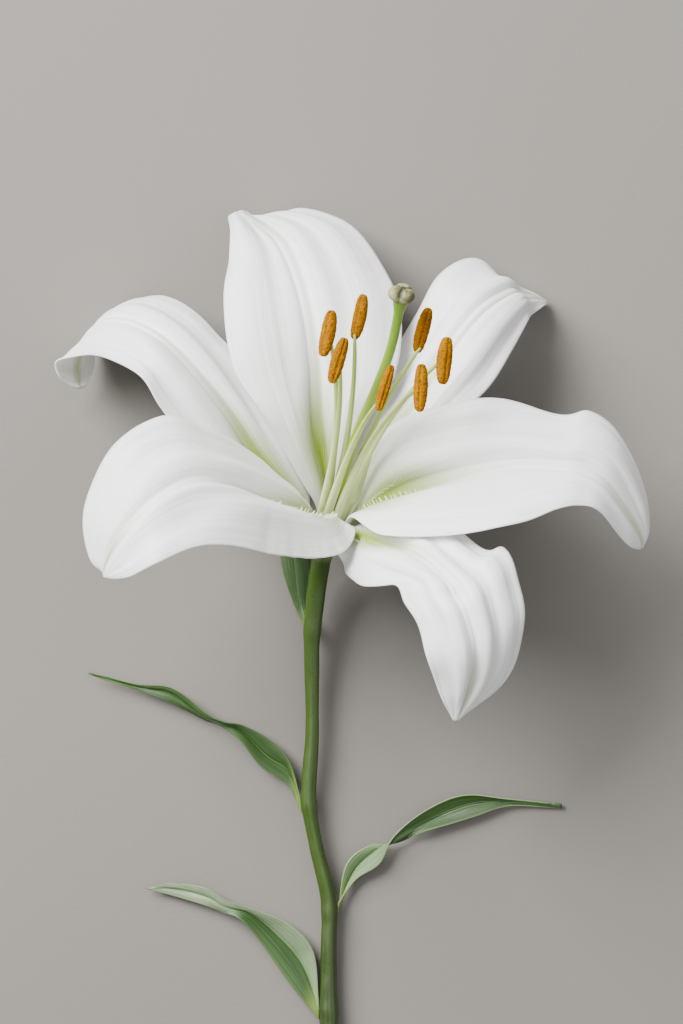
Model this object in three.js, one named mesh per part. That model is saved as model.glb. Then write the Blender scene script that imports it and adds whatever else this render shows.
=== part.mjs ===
// A cut lily lying on its back: six tepals, seven stamens, one pistil, the stem and four leaves.
// Millimetres. The flower is first drawn standing in its own frame, with +Z out of the face of
// the flower and the receptacle at the origin, and is then laid down on the points it rests on.
import * as THREE from "three";
import { ConvexHull } from "three/addons/math/ConvexHull.js";

// Driving sizes.
const GAP = 0.35;
const TEPAL_LENGTH = 118;
const INNER_TEPAL_WIDTH = 46;
const OUTER_TEPAL_WIDTH = 36;
const TEPAL_THICKNESS = 1.1;
const PISTIL_LENGTH = 97;
const PISTIL_RADIUS = 1.6;
const STIGMA_RADIUS = 3.6;
const STAMEN_LENGTH = 83;
const FILAMENT_RADIUS = 1;
const ANTHER_LENGTH = 13.4;
const ANTHER_WIDTH = 4.6;
const STEM_LENGTH = 226;
const STEM_RADIUS = 2.3;
const LEAF_LENGTH = 84;
const LEAF_WIDTH = 9.5;
const LEAF_THICKNESS = 1;

// Sizes that follow from what has to stand on the receptacle.
const STAMEN_RING = PISTIL_RADIUS + FILAMENT_RADIUS + 1.5 * GAP;
const TEPAL_RING = STAMEN_RING + FILAMENT_RADIUS + TEPAL_THICKNESS / 2 + GAP;
const RECEPTACLE_RADIUS = TEPAL_RING + TEPAL_THICKNESS;
const TEPAL_FOOT = 0.84 * TEPAL_RING;

// The way the flower faces, and two directions across it.
const AXIS = new THREE.Vector3(0.13, 0.75, 0.64).normalize();
const ACROSS = new THREE.Vector3(AXIS.y, -AXIS.x, 0).normalize();
const OUTWARD = new THREE.Vector3().crossVectors(AXIS, ACROSS);
const STAMEN_WAY = new THREE.Vector3(0.2, 0.73, 0.65).normalize();

const FINISH = {
  tepal: { color: "#f3f1ea", roughness: 0.55, metalness: 0 },
  pistil: { color: "#9fb070", roughness: 0.45, metalness: 0 },
  filament: { color: "#dfe6c8", roughness: 0.45, metalness: 0 },
  anther: { color: "#d98a1e", roughness: 0.95, metalness: 0 },
  stem: { color: "#7d9a55", roughness: 0.5, metalness: 0 },
  leaf: { color: "#5b7f3c", roughness: 0.5, metalness: 0 },
};

// Each tepal: where it stands around the axis, its length and width beside the driving ones, and
// its ribs from the foot to the tip, every rib as the left margin, the midrib and the right
// margin, seen from inside the flower with the tip up. The ribs give the shape only.
const TEPALS = [
  {
    name: "tepal_inner_top",
    turn: 105,
    length: 1.03 * TEPAL_LENGTH,
    width: 1.14 * INNER_TEPAL_WIDTH,
    ribs: [
      [[-7, 18, 8], [0, 18, 3], [6, 18, 5]],
      [[-17, 36, 19], [-2, 33, 12], [11, 34, 12]],
      [[-26, 51, 20], [-3, 52, 15], [20, 50, 14]],
      [[-29, 70, 14], [-6, 71, 13], [21, 70, 7]],
      [[-28, 84, 8], [-12, 87, 5], [9, 93, -5]],
      [[-28, 92, 2], [-19, 95, -4], [-8, 100, -14]],
      [[-27, 99, -15], [-25, 99, -17], [-23, 101, -18]],
    ],
  },
  {
    name: "tepal_outer_right",
    turn: 45,
    length: 1.04 * TEPAL_LENGTH,
    width: 1.06 * OUTER_TEPAL_WIDTH,
    ribs: [
      [[4, 18, -1], [12, 15, 2], [14, 11, 8]],
      [[8, 33, 2], [16, 28, 10], [24, 22, 17]],
      [[16, 50, 2], [27, 42, 13], [38, 34, 20]],
      [[24, 65, -3], [37, 57, 15], [49, 43, 18]],
      [[32, 79, -4], [46, 68, 12], [56, 54, 12]],
      [[43, 85, -12], [55, 74, 3], [61, 64, 5]],
      [[54, 78, -19], [61, 74, -7], [64, 68, -6]],
      [[66, 72, -16], [67, 72, -15], [67, 71, -15]],
    ],
  },
  {
    name: "tepal_inner_right",
    turn: 345,
    length: 1.05 * TEPAL_LENGTH,
    width: 0.96 * INNER_TEPAL_WIDTH,
    ribs: [
      [[11, 14, 9], [11, 8, 13], [8, 7, 22]],
      [[18, 32, 22], [21, 14, 22], [17, 2, 38]],
      [[34, 39, 30], [36, 19, 32], [34, 2, 48]],
      [[52, 41, 34], [53, 22, 40], [54, 5, 53]],
      [[71, 37, 37], [70, 22, 44], [68, 10, 53]],
      [[86, 31, 34], [81, 16, 43], [78, 9, 49]],
      [[95, 14, 29], [88, 7, 38], [85, 2, 42]],
      [[93, -1, 31], [92, -1, 32], [92, -2, 32]],
    ],
  },
  {
    name: "tepal_inner_left",
    turn: 225,
    length: 0.98 * TEPAL_LENGTH,
    width: 0.93 * INNER_TEPAL_WIDTH,
    ribs: [
      [[8, 4, 22], [-3, 7, 17], [-7, 12, 12]],
      [[0, -4, 40], [-7, 10, 32], [-12, 18, 24]],
      [[-14, -3, 54], [-18, 14, 44], [-23, 27, 36]],
      [[-27, 0, 66], [-28, 17, 54], [-34, 32, 46]],
      [[-37, -1, 70], [-38, 17, 61], [-46, 35, 53]],
      [[-46, -5, 73], [-48, 11, 66], [-60, 26, 57]],
      [[-54, -9, 70], [-56, 2, 66], [-67, 10, 57]],
      [[-58, -10, 66], [-60, -4, 63], [-66, -4, 57]],
      [[-62, -10, 60], [-62, -9, 60], [-62, -9, 59]],
    ],
  },
  {
    name: "tepal_outer_front",
    turn: 287,
    length: 0.96 * TEPAL_LENGTH,
    width: 0.97 * OUTER_TEPAL_WIDTH,
    ribs: [
      [[12, 5, 13], [8, 2, 18], [5, -5, 20]],
      [[22, 8, 27], [17, 0, 34], [8, -10, 32]],
      [[33, 8, 38], [27, -3, 46], [13, -13, 40]],
      [[47, -3, 47], [36, -11, 56], [22, -13, 50]],
      [[55, -9, 52], [41, -20, 61], [28, -24, 56]],
      [[57, -23, 52], [44, -31, 60], [31, -34, 57]],
      [[54, -39, 48], [43, -41, 54], [34, -44, 53]],
      [[40, -50, 47], [39, -51, 47], [38, -51, 47]],
    ],
  },
  {
    name: "tepal_outer_left",
    turn: 165,
    length: 1.12 * TEPAL_LENGTH,
    width: 1.06 * OUTER_TEPAL_WIDTH,
    ribs: [
      [[-11, 8, 12], [-10, 13, 8], [-6, 19, 4]],
      [[-26, 18, 20], [-19, 24, 14], [-11, 31, 9]],
      [[-39, 29, 25], [-28, 38, 18], [-20, 44, 11]],
      [[-48, 40, 28], [-39, 51, 20], [-29, 58, 10]],
      [[-54, 49, 28], [-50, 61, 18], [-39, 68, 4]],
      [[-63, 54, 20], [-61, 66, 9], [-50, 74, -6]],
      [[-72, 56, 9], [-70, 65, -2], [-61, 72, -16]],
      [[-80, 55, 0], [-74, 57, -9], [-69, 63, -20]],
      [[-76, 48, -8], [-75, 47, -9], [-74, 47, -10]],
    ],
  },
];

// Each stamen: where its filament stands around the pistil, the middle of its anther, the way
// the anther points, the place along the anther, from -0.5 to 0.5, where the filament joins, and
// the face it joins on: 1 for the back and -1 for the front.
const STAMENS = [
  { turn: 141, top: [1, 59, 50], lean: [0.2, 1, 0], hold: 0, face: 1 },
  { turn: 192, top: [4, 51, 57], lean: [0.3, 1, 0.1], hold: 0, face: 1 },
  { turn: 90, top: [10, 64, 46], lean: [0.2, 0.95, 0.25], hold: -0.38, face: -1 },
  { turn: 243, top: [17, 43, 64], lean: [0.3, 1, 0], hold: -0.3, face: 1 },
  { turn: 39, top: [28, 60, 49], lean: [0.25, 0.95, 0.25], hold: -0.36, face: -1 },
  { turn: 294, top: [27, 43, 64], lean: [0.05, 1, 0], hold: 0, face: 1 },
  { turn: 345, top: [34, 51, 56], lean: [0.1, 1, 0.1], hold: 0, face: 1 },
];

const PISTIL = [[3, 11, 10], [9, 30, 27], [15, 44, 41], [19, 55, 49], [22, 71, 60]];

// The stem from the receptacle down: a point on its middle and its thickness beside STEM_RADIUS.
const STEM = [
  [[-1, -5, -4], 1.3],
  [[-2, -11, -8], 1.25],
  [[-3, -19, -10], 1.03],
  [[-4, -30, -11], 0.88],
  [[-4, -43, -12], 0.99],
  [[-4, -60, -12], 0.92],
  [[-5, -80, -12], 1.02],
  [[-3, -93, -12], 1.06],
  [[1, -111, -12], 1.22],
  [[1, -125, -12], 1.15],
  [[1, -142, -12], 1.12],
  [[2, -175, -12], 1.12],
  [[4, -224, -12], 1.15],
];

// Each leaf: its length and width beside the driving ones, how far down the stem it grows as a
// share of the stem, the side it leaves the stem on, and its ribs as for the tepals, measured
// from the middle of the stem at that place.
const LEAVES = [
  {
    name: "leaf_upper",
    length: 0.62 * LEAF_LENGTH,
    width: 0.95 * LEAF_WIDTH,
    down: 0.135,
    side: [-0.55, 0, -0.85],
    ribs: [
      [[-6, 9, -5], [-4, 8, -6], [-1, 8, -6]],
      [[-9, 19, -4], [-5, 18, -6], [-1, 17, -6]],
      [[-10, 29, -4], [-6, 28, -6], [-3, 27, -6]],
      [[-9, 40, -4], [-6, 40, -5], [-4, 40, -5]],
      [[-5, 49, -4], [-5, 49, -4], [-4, 49, -4]],
    ],
  },
  {
    name: "leaf_left",
    length: 0.98 * LEAF_LENGTH,
    width: LEAF_WIDTH,
    down: 0.372,
    side: [-1, 0, 0],
    ribs: [
      [[-7, 6, -2], [-6, 10, -3], [-6, 14, -1]],
      [[-15, 11, -1], [-13, 15, -3], [-12, 21, -1]],
      [[-21, 19, 0], [-20, 22, -2], [-20, 25, 0]],
      [[-27, 24, -2], [-26, 25, -1], [-26, 26, 1]],
      [[-33, 26, -4], [-32, 27, -2], [-32, 29, 0]],
      [[-43, 31, -2], [-42, 34, -3], [-42, 36, -1]],
      [[-53, 35, -3], [-53, 36, -4], [-53, 37, -3]],
      [[-67, 40, -3], [-67, 40, -3], [-67, 40, -3]],
    ],
  },
  {
    name: "leaf_right",
    length: LEAF_LENGTH,
    width: 0.9 * LEAF_WIDTH,
    down: 0.515,
    side: [1, 0, 0],
    ribs: [
      [[5, 13, -1], [7, 11, -3], [8, 9, -1]],
      [[12, 19, -1], [13, 17, -2], [15, 14, 0]],
      [[19, 22, 1], [20, 21, 0], [20, 20, -2]],
      [[28, 29, 0], [29, 26, -2], [30, 24, 0]],
      [[40, 34, 0], [42, 31, -2], [43, 28, 0]],
      [[53, 33, -1], [53, 32, -2], [54, 31, -1]],
      [[68, 31, -2], [69, 31, -2], [69, 30, -2]],
    ],
  },
  {
    name: "leaf_lower",
    length: 0.86 * LEAF_LENGTH,
    width: 1.4 * LEAF_WIDTH,
    down: 0.65,
    side: [-1, 0, 0],
    ribs: [
      [[-12, 7, 0], [-8, 14, -3], [-4, 18, 0]],
      [[-21, 20, 0], [-17, 24, -3], [-11, 26, 0]],
      [[-27, 27, 1], [-24, 29, -2], [-21, 30, 0]],
      [[-32, 29, -2], [-31, 31, -1], [-30, 33, 0]],
      [[-38, 31, -2], [-37, 34, -2], [-37, 37, 0]],
      [[-48, 34, -3], [-47, 36, -4], [-47, 38, -3]],
      [[-55, 36, -3], [-55, 36, -3], [-55, 36, -3]],
    ],
  },
];

const SHEET_STEPS = 16;

/** A vector from three numbers. */
function vec(numbers) {
  return new THREE.Vector3(...numbers);
}

/** The direction across the flower axis at a turn in degrees. */
function around(turn) {
  const angle = THREE.MathUtils.degToRad(turn);
  return ACROSS.clone().multiplyScalar(Math.cos(angle)).addScaledVector(OUTWARD, Math.sin(angle));
}

/** A smooth curve through points. */
function through(points) {
  return new THREE.CatmullRomCurve3(points, false, "centripetal");
}

/** One closed body through rings of points, each ring counter-clockwise about the way along. */
function loft(rings) {
  const size = rings[0].length;
  const index = [];
  const quad = (a, b, c, d) => index.push(a, b, c, a, c, d);
  for (let i = 0; i + 1 < rings.length; i++) {
    for (let j = 0; j < size; j++) {
      const next = (j + 1) % size;
      quad(i * size + j, i * size + next, (i + 1) * size + next, (i + 1) * size + j);
    }
  }
  const last = (rings.length - 1) * size;
  for (let j = 0; j + 1 < size / 2; j++) {
    quad(size - 1 - j, size - 2 - j, j + 1, j);
    quad(last + j, last + j + 1, last + size - 2 - j, last + size - 1 - j);
  }
  const geometry = new THREE.BufferGeometry();
  const numbers = rings.flat().flatMap((point) => point.toArray());
  geometry.setAttribute("position", new THREE.Float32BufferAttribute(numbers, 3));
  geometry.setIndex(index);
  geometry.computeVertexNormals();
  return geometry;
}

/** A closed tube along a curve at the given shares of its length; radius(share, angle) sizes it. */
function tube(curve, shares, sides, radius, slant = 0) {
  const up = new THREE.Vector3(0.3, -0.2, 0.93);
  const rings = shares.map((share) => {
    const along = curve.getTangentAt(share);
    const u = new THREE.Vector3().crossVectors(up, along).normalize();
    const v = new THREE.Vector3().crossVectors(along, u);
    const centre = curve.getPointAt(share);
    return Array.from({ length: sides }, (_, j) => {
      const angle = (2 * Math.PI * (j + 0.5)) / sides;
      const reach = radius(share, angle);
      const point = centre.clone().addScaledVector(u, reach * Math.cos(angle));
      point.addScaledVector(v, reach * Math.sin(angle));
      return point.addScaledVector(along, slant * share ** 40 * reach * Math.cos(angle));
    });
  });
  return loft(rings);
}

/** Even shares from 0 to 1. */
function even(steps) {
  return Array.from({ length: steps + 1 }, (_, i) => i / steps);
}

/** A thin closed body over ribs of left margin, middle and right margin. */
function sheet(ribs, thickness, bulge, across) {
  const rail = (k) => new THREE.CatmullRomCurve3(ribs.map((rib) => rib[k]), false, "catmullrom", 0.5);
  const rails = [rail(0), rail(1), rail(2)];
  const grid = [];
  for (let i = 0; i <= SHEET_STEPS; i++) {
    const t = i / SHEET_STEPS;
    const [left, middle, right] = rails.map((curve) => curve.getPoint(t));
    const chord = left.clone().sub(right);
    const inner = new THREE.Vector3().crossVectors(rails[1].getTangent(t), chord).normalize();
    const row = [];
    for (let j = 0; j <= across; j++) {
      const v = (2 * j) / across - 1;
      const reach = (v > 0 ? left : right).clone().sub(middle);
      const pad = bulge * reach.length() * Math.abs(v) * (1 - Math.abs(v));
      row.push(middle.clone().addScaledVector(reach, Math.abs(v)).addScaledVector(inner, pad));
    }
    grid.push(row);
  }
  const at = (i, j) => grid[Math.min(Math.max(i, 0), SHEET_STEPS)][Math.min(Math.max(j, 0), across)];
  const rings = grid.map((row, i) => {
    const faces = row.map((point, j) => {
      const along = at(i + 1, j).clone().sub(at(i - 1, j));
      const sideways = at(i, j + 1).clone().sub(at(i, j - 1));
      const normal = along.cross(sideways).normalize();
      const v = Math.abs((2 * j) / across - 1);
      const half = (thickness / 2) * (1 - 0.5 * v * v);
      return [point.clone().addScaledVector(normal, -half), point.clone().addScaledVector(normal, half)];
    });
    return [...faces.map((pair) => pair[0]), ...faces.map((pair) => pair[1]).reverse()];
  });
  return loft(rings);
}

/** Ribs brought to a wanted length and width about an origin. */
function sized(origin, ribs, length, width) {
  const rows = ribs.map((rib) => rib.map(vec));
  const start = new THREE.Vector3();
  let drawn = 0;
  let widest = 0;
  rows.forEach(([left, middle, right], i) => {
    drawn += middle.distanceTo(i ? rows[i - 1][1] : start);
    widest = Math.max(widest, left.distanceTo(middle) + right.distanceTo(middle));
  });
  return rows.map(([left, middle, right]) => {
    const centre = middle.clone().multiplyScalar(length / drawn).add(origin);
    const margin = (edge) => edge.clone().sub(middle).multiplyScalar(width / widest).add(centre);
    return [margin(left), centre, margin(right)];
  });
}

/** The points of a path scaled from the receptacle until the path has a wanted length. */
function stretched(points, length) {
  const drawn = through([new THREE.Vector3(), ...points.map(vec)]).getLength();
  return points.map((point) => vec(point).multiplyScalar(length / drawn));
}

const lily = new THREE.Group();
lily.name = "cut_lily";

/** Add one finished body under its name. */
function keep(name, geometry, finish) {
  const body = new THREE.Mesh(geometry, new THREE.MeshStandardMaterial(FINISH[finish]));
  body.name = name;
  lily.add(body);
  return body;
}

// Stem, with the receptacle as its flared head.
const stemPoints = stretched(STEM.map(([point]) => point), STEM_LENGTH);
const head = [GAP, GAP + 2].map((depth) => AXIS.clone().multiplyScalar(-depth));
const stemCurve = through([...head, ...stemPoints]);
const stemRadius = (share) => {
  const place = share * (STEM.length - 1);
  const i = Math.min(Math.floor(place), STEM.length - 2);
  const plain = STEM_RADIUS * THREE.MathUtils.lerp(STEM[i][1], STEM[i + 1][1], place - i);
  const flare = Math.max(0, 1 - (share * STEM_LENGTH) / (1.2 * RECEPTACLE_RADIUS));
  return plain + Math.max(0, RECEPTACLE_RADIUS - plain) * flare ** 2;
};
const stemShares = [0, 0.006, 0.013, 0.022, ...even(26).slice(1)];
keep("stem", tube(stemCurve, stemShares, 10, stemRadius, 0.9), "stem");

// Tepals.
for (const { name, turn, length, width, ribs } of TEPALS) {
  const middle = around(turn).multiplyScalar(TEPAL_RING).addScaledVector(AXIS, GAP);
  const half = around(turn + 90).multiplyScalar(TEPAL_FOOT / 2);
  const foot = [middle.clone().add(half), middle, middle.clone().sub(half)];
  const wall = TEPAL_RING + (name.includes("outer") ? 3.4 : 1.5);
  const wallAt = (spread) => around(turn + spread).multiplyScalar(wall).addScaledVector(AXIS, 8);
  const throat = [wallAt(26), wallAt(0), wallAt(-26)];
  const grown = sized(new THREE.Vector3(), ribs, length, width);
  keep(name, sheet([foot, throat, ...grown], TEPAL_THICKNESS, 0.25, 10), "tepal");
}

// Pistil: ovary, style and three-lobed stigma in one body.
const pistilPoints = stretched(PISTIL, PISTIL_LENGTH);
const pistilRadius = (share, angle) => {
  const style = PISTIL_RADIUS * (share < 0.25 ? 1 : 0.85);
  const lobe = STIGMA_RADIUS * (0.85 + 0.15 * Math.cos(3 * angle));
  const crown = THREE.MathUtils.smoothstep(share, 0.9, 0.97);
  return THREE.MathUtils.lerp(style, lobe, crown) * (share > 0.99 ? 0.75 : 1);
};
const pistilShares = [...even(10).slice(0, 10), 0.93, 0.955, 0.98, 1];
const pistilCurve = through([AXIS.clone().multiplyScalar(GAP), ...pistilPoints]);
keep("pistil", tube(pistilCurve, pistilShares, 12, pistilRadius), "pistil");

// Stamens: a filament and an anther each, the anther a barrel with a furrow down both sides.
const antherRadius = (share, angle) => {
  const barrel = Math.sqrt(Math.max(0.12, 1 - Math.abs(2 * share - 1) ** 3));
  return (ANTHER_WIDTH / 2) * barrel * (0.88 + 0.12 * Math.cos(2 * angle));
};
const antherSpine = new THREE.LineCurve3(
  new THREE.Vector3(0, 0, -ANTHER_LENGTH / 2),
  new THREE.Vector3(0, 0, ANTHER_LENGTH / 2),
);
const antherShape = tube(antherSpine, even(7), 8, antherRadius);
const drawnReach = Math.max(...STAMENS.map(({ top }) => vec(top).length()));
STAMENS.forEach(({ turn, top, lean, hold, face }, i) => {
  const way = vec(lean).normalize();
  const centre = vec(top).multiplyScalar(STAMEN_LENGTH / drawnReach);
  const from = around(turn).multiplyScalar(STAMEN_RING).addScaledVector(AXIS, GAP);
  const back = from.clone().sub(centre).projectOnPlane(way).normalize();
  const joint = centre.clone().addScaledVector(way, hold * ANTHER_LENGTH);
  joint.addScaledVector(back, face * (ANTHER_WIDTH / 2 + GAP + FILAMENT_RADIUS / 2));
  const bend = from.clone().addScaledVector(STAMEN_WAY, 0.55 * STAMEN_LENGTH);
  const filament = new THREE.QuadraticBezierCurve3(from, bend, joint);
  const taper = (share) => FILAMENT_RADIUS * (1 - 0.45 * share);
  keep(`filament_${i + 1}`, tube(filament, even(10), 6, taper), "filament");
  const anther = keep(`anther_${i + 1}`, antherShape.clone(), "anther");
  anther.position.copy(centre);
  anther.quaternion.setFromUnitVectors(new THREE.Vector3(0, 0, 1), way);
});

// Leaves, each clasping the stem at its foot.
for (const { name, length, width, down, side, ribs } of LEAVES) {
  const joint = stemCurve.getPointAt(down);
  const along = stemCurve.getTangentAt(down);
  const out = vec(side).projectOnPlane(along).normalize();
  const middle = joint.clone().addScaledVector(out, stemRadius(down) + GAP + LEAF_THICKNESS / 2);
  const half = along.clone().multiplyScalar(0.2 * width);
  const foot = [middle.clone().add(half), middle, middle.clone().sub(half)];
  keep(name, sheet([foot, ...sized(joint, ribs, length, width)], LEAF_THICKNESS, 0.2, 6), "leaf");
}

// Lay the flower down: of all the flat ways it can rest, the one that needs the least turning
// from lying on its back and has its middle of mass over the points it rests on.
const cloud = [];
const balance = new THREE.Vector3();
let whole = 0;
for (const body of lily.children) {
  body.updateMatrix();
  const place = body.geometry.attributes.position;
  const corner = (i) => new THREE.Vector3().fromBufferAttribute(place, i).applyMatrix4(body.matrix);
  const corners = Array.from({ length: place.count }, (_, i) => corner(i));
  const index = body.geometry.index.array;
  cloud.push(...corners);
  for (let i = 0; i < index.length; i += 3) {
    const [a, b, c] = [corners[index[i]], corners[index[i + 1]], corners[index[i + 2]]];
    const volume = a.dot(new THREE.Vector3().crossVectors(b, c)) / 6;
    whole += volume;
    balance.addScaledVector(a, volume / 4).addScaledVector(b, volume / 4).addScaledVector(c, volume / 4);
  }
}
balance.divideScalar(whole);
const faces = new ConvexHull().setFromPoints(cloud).faces.filter((face) => {
  const [a, b, c] = [face.edge.tail().point, face.edge.head().point, face.edge.next.head().point];
  const flat = new THREE.Plane().setFromNormalAndCoplanarPoint(face.normal, a);
  return THREE.Triangle.containsPoint(flat.projectPoint(balance, new THREE.Vector3()), a, b, c);
});
const under = faces.reduce((best, face) => (face.normal.z < best.normal.z ? face : best));
lily.quaternion.setFromUnitVectors(under.normal, new THREE.Vector3(0, 0, -1));
const box = new THREE.Box3().setFromPoints(cloud.map((point) => point.applyQuaternion(lily.quaternion)));
lily.position.set((box.min.x + box.max.x) / -2, (box.min.y + box.max.y) / -2, -box.min.z);

export default lily;
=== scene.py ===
"""A cut white lily lying on its back: petals, stamens, pistil, stem and leaves."""

from __future__ import annotations

import logging
import math
from dataclasses import dataclass, field, replace
from enum import Enum
from typing import Callable, Sequence

import bmesh
import bpy
from mathutils import Matrix, Vector, noise

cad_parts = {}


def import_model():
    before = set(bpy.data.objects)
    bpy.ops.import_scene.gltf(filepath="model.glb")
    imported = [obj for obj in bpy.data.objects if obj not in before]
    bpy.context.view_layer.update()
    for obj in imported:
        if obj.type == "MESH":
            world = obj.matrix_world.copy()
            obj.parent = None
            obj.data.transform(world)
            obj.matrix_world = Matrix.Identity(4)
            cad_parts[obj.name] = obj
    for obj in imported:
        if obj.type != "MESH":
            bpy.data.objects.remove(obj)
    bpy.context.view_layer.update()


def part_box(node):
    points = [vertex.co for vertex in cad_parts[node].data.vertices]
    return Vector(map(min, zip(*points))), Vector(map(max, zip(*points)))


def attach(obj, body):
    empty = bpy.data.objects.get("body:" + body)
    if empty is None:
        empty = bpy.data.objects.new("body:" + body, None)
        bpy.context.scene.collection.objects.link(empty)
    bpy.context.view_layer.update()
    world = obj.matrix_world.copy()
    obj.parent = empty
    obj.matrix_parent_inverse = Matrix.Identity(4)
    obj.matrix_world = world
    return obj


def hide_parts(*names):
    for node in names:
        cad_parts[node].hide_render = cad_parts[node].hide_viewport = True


LOG = logging.getLogger("cut_lily")
MM = 0.001

Triple = tuple[float, float, float]
Colour = tuple[float, float, float, float]
Rib = tuple[Triple, Triple, Triple]
Path = Callable[[float], Vector]
Relief = Callable[[float, float, float], float]


class Whorl(Enum):
    """Which ring of tepals a tepal belongs to."""

    INNER = "inner"
    OUTER = "outer"


class Side(Enum):
    """Which side of its anther a filament joins."""

    BACK = 1
    FRONT = -1


class Face(Enum):
    """Which face of a leaf is turned up beyond its twist."""

    UPPER = 0
    UNDER = 1


@dataclass(frozen=True)
class Sizes:
    """The sizes of the flower in millimetres."""

    gap: float = 0.35
    tepal_length: float = 118.0
    inner_width: float = 46.0
    outer_width: float = 36.0
    tepal_thickness: float = 1.1
    pistil_length: float = 97.0
    pistil_radius: float = 1.6
    stigma_radius: float = 3.6
    stamen_length: float = 83.0
    filament_radius: float = 1.0
    anther_length: float = 13.4
    anther_width: float = 4.6
    stem_length: float = 226.0
    stem_radius: float = 2.3
    leaf_length: float = 84.0
    leaf_width: float = 9.5

    @property
    def stamen_ring(self) -> float:
        """Radius of the ring the filaments stand on."""
        return self.pistil_radius + self.filament_radius + 1.5 * self.gap

    @property
    def tepal_ring(self) -> float:
        """Radius of the ring the tepals stand on."""
        return self.stamen_ring + self.filament_radius + self.tepal_thickness / 2 + self.gap

    @property
    def receptacle_radius(self) -> float:
        """Radius of the flat head of the stem."""
        return self.tepal_ring + self.tepal_thickness


SIZES = Sizes()
AXIS = Vector((0.13, 0.75, 0.64)).normalized()
ACROSS = Vector((AXIS.y, -AXIS.x, 0.0)).normalized()
OUTWARD = AXIS.cross(ACROSS)
STAMEN_WAY = Vector((0.2, 0.73, 0.65)).normalized()


def around(turn: float) -> Vector:
    """The direction across the flower axis at a turn.

    Args:
        turn: The turn in degrees.

    Returns:
        A unit vector.
    """
    angle = math.radians(turn)
    return ACROSS * math.cos(angle) + OUTWARD * math.sin(angle)


def smooth(low: float, high: float, value: float) -> float:
    """A soft step from 0 at low to 1 at high, which may lie below low.

    Args:
        low: Where the step starts.
        high: Where the step ends.
        value: The place to read.

    Returns:
        The height of the step there.
    """
    share = min(max((value - low) / (high - low), 0.0), 1.0)
    return share * share * (3.0 - 2.0 * share)


def bump(middle: float, spread: float, value: float) -> float:
    """A bell of height 1.

    Args:
        middle: Where the bell stands.
        spread: How wide it is.
        value: The place to read.

    Returns:
        The height of the bell there.
    """
    return math.exp(-(((value - middle) / spread) ** 2))


class Spline:
    """A smooth open curve through points."""

    def __init__(self, points: Sequence[Vector], centripetal: bool = False) -> None:
        """Keep the points.

        Args:
            points: The points the curve passes through.
            centripetal: Whether close points pull the curve less.
        """
        self.points = [Vector(p) for p in points]
        self.power = 0.5 if centripetal else 0.0
        self.marks = [self.at(i / 400) for i in range(401)]
        self.runs = [0.0]
        for before, after in zip(self.marks, self.marks[1:]):
            self.runs.append(self.runs[-1] + (after - before).length)

    @property
    def length(self) -> float:
        """How long the curve is."""
        return self.runs[-1]

    def at(self, share: float) -> Vector:
        """The point at a share of the curve's own parameter.

        Args:
            share: From 0 at the first point to 1 at the last.

        Returns:
            The point.
        """
        last = len(self.points) - 1
        place = min(max(share, 0.0), 1.0) * last
        i = min(int(place), last - 1)
        b, c = self.points[i], self.points[i + 1]
        a = self.points[i - 1] if i else b * 2 - c
        d = self.points[i + 2] if i + 2 <= last else c * 2 - b
        steps = [max((q - p).length ** self.power, 1e-6) for p, q in ((a, b), (b, c), (c, d))]
        enter = (b - a) / steps[0] - (c - a) / (steps[0] + steps[1]) + (c - b) / steps[1]
        leave = (c - b) / steps[1] - (d - b) / (steps[1] + steps[2]) + (d - c) / steps[2]
        enter, leave = enter * steps[1], leave * steps[1]
        t = place - i
        bend = (c - b) * 3 - enter * 2 - leave
        twist = (b - c) * 2 + enter + leave
        return b + enter * t + bend * t * t + twist * t * t * t

    def place(self, share: float) -> float:
        """The curve's own parameter at a share of its length.

        Args:
            share: From 0 to 1.

        Returns:
            The parameter, from 0 to 1.
        """
        wanted = min(max(share, 0.0), 1.0) * self.length
        low, high = 0, len(self.runs) - 1
        while high - low > 1:
            middle = (low + high) // 2
            low, high = (middle, high) if self.runs[middle] < wanted else (low, middle)
        span = max(self.runs[high] - self.runs[low], 1e-9)
        return (low + (wanted - self.runs[low]) / span) / (len(self.runs) - 1)

    def along(self, share: float) -> Vector:
        """The point at a share of the curve's length.

        Args:
            share: From 0 to 1.

        Returns:
            The point.
        """
        return self.at(self.place(share))


class Placement:
    """The lying flower's place: from its own millimetres to the part's metres."""

    def __init__(self, own: Sequence[Vector], placed: Sequence[Vector]) -> None:
        """Find the turn and shift that bring three points onto their places.

        Args:
            own: Three points in the flower's own millimetres.
            placed: The same points in the part's metres.
        """
        turn = self.basis(placed) @ self.basis(own).transposed()
        self.turn = turn
        self.matrix = Matrix.Translation(placed[0]) @ turn.to_4x4() @ Matrix.Scale(MM, 4)
        self.matrix = self.matrix @ Matrix.Translation(-own[0])

    @staticmethod
    def basis(points: Sequence[Vector]) -> Matrix:
        """Three square directions fixed by three points.

        Args:
            points: Three points not on a line.

        Returns:
            A matrix whose columns are the directions.
        """
        first = (points[1] - points[0]).normalized()
        third = first.cross(points[2] - points[0]).normalized()
        return Matrix((first, third.cross(first), third)).transposed()

    def __call__(self, point: Vector) -> Vector:
        """A point of the flower in the part's metres."""
        return self.matrix @ point


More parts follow.
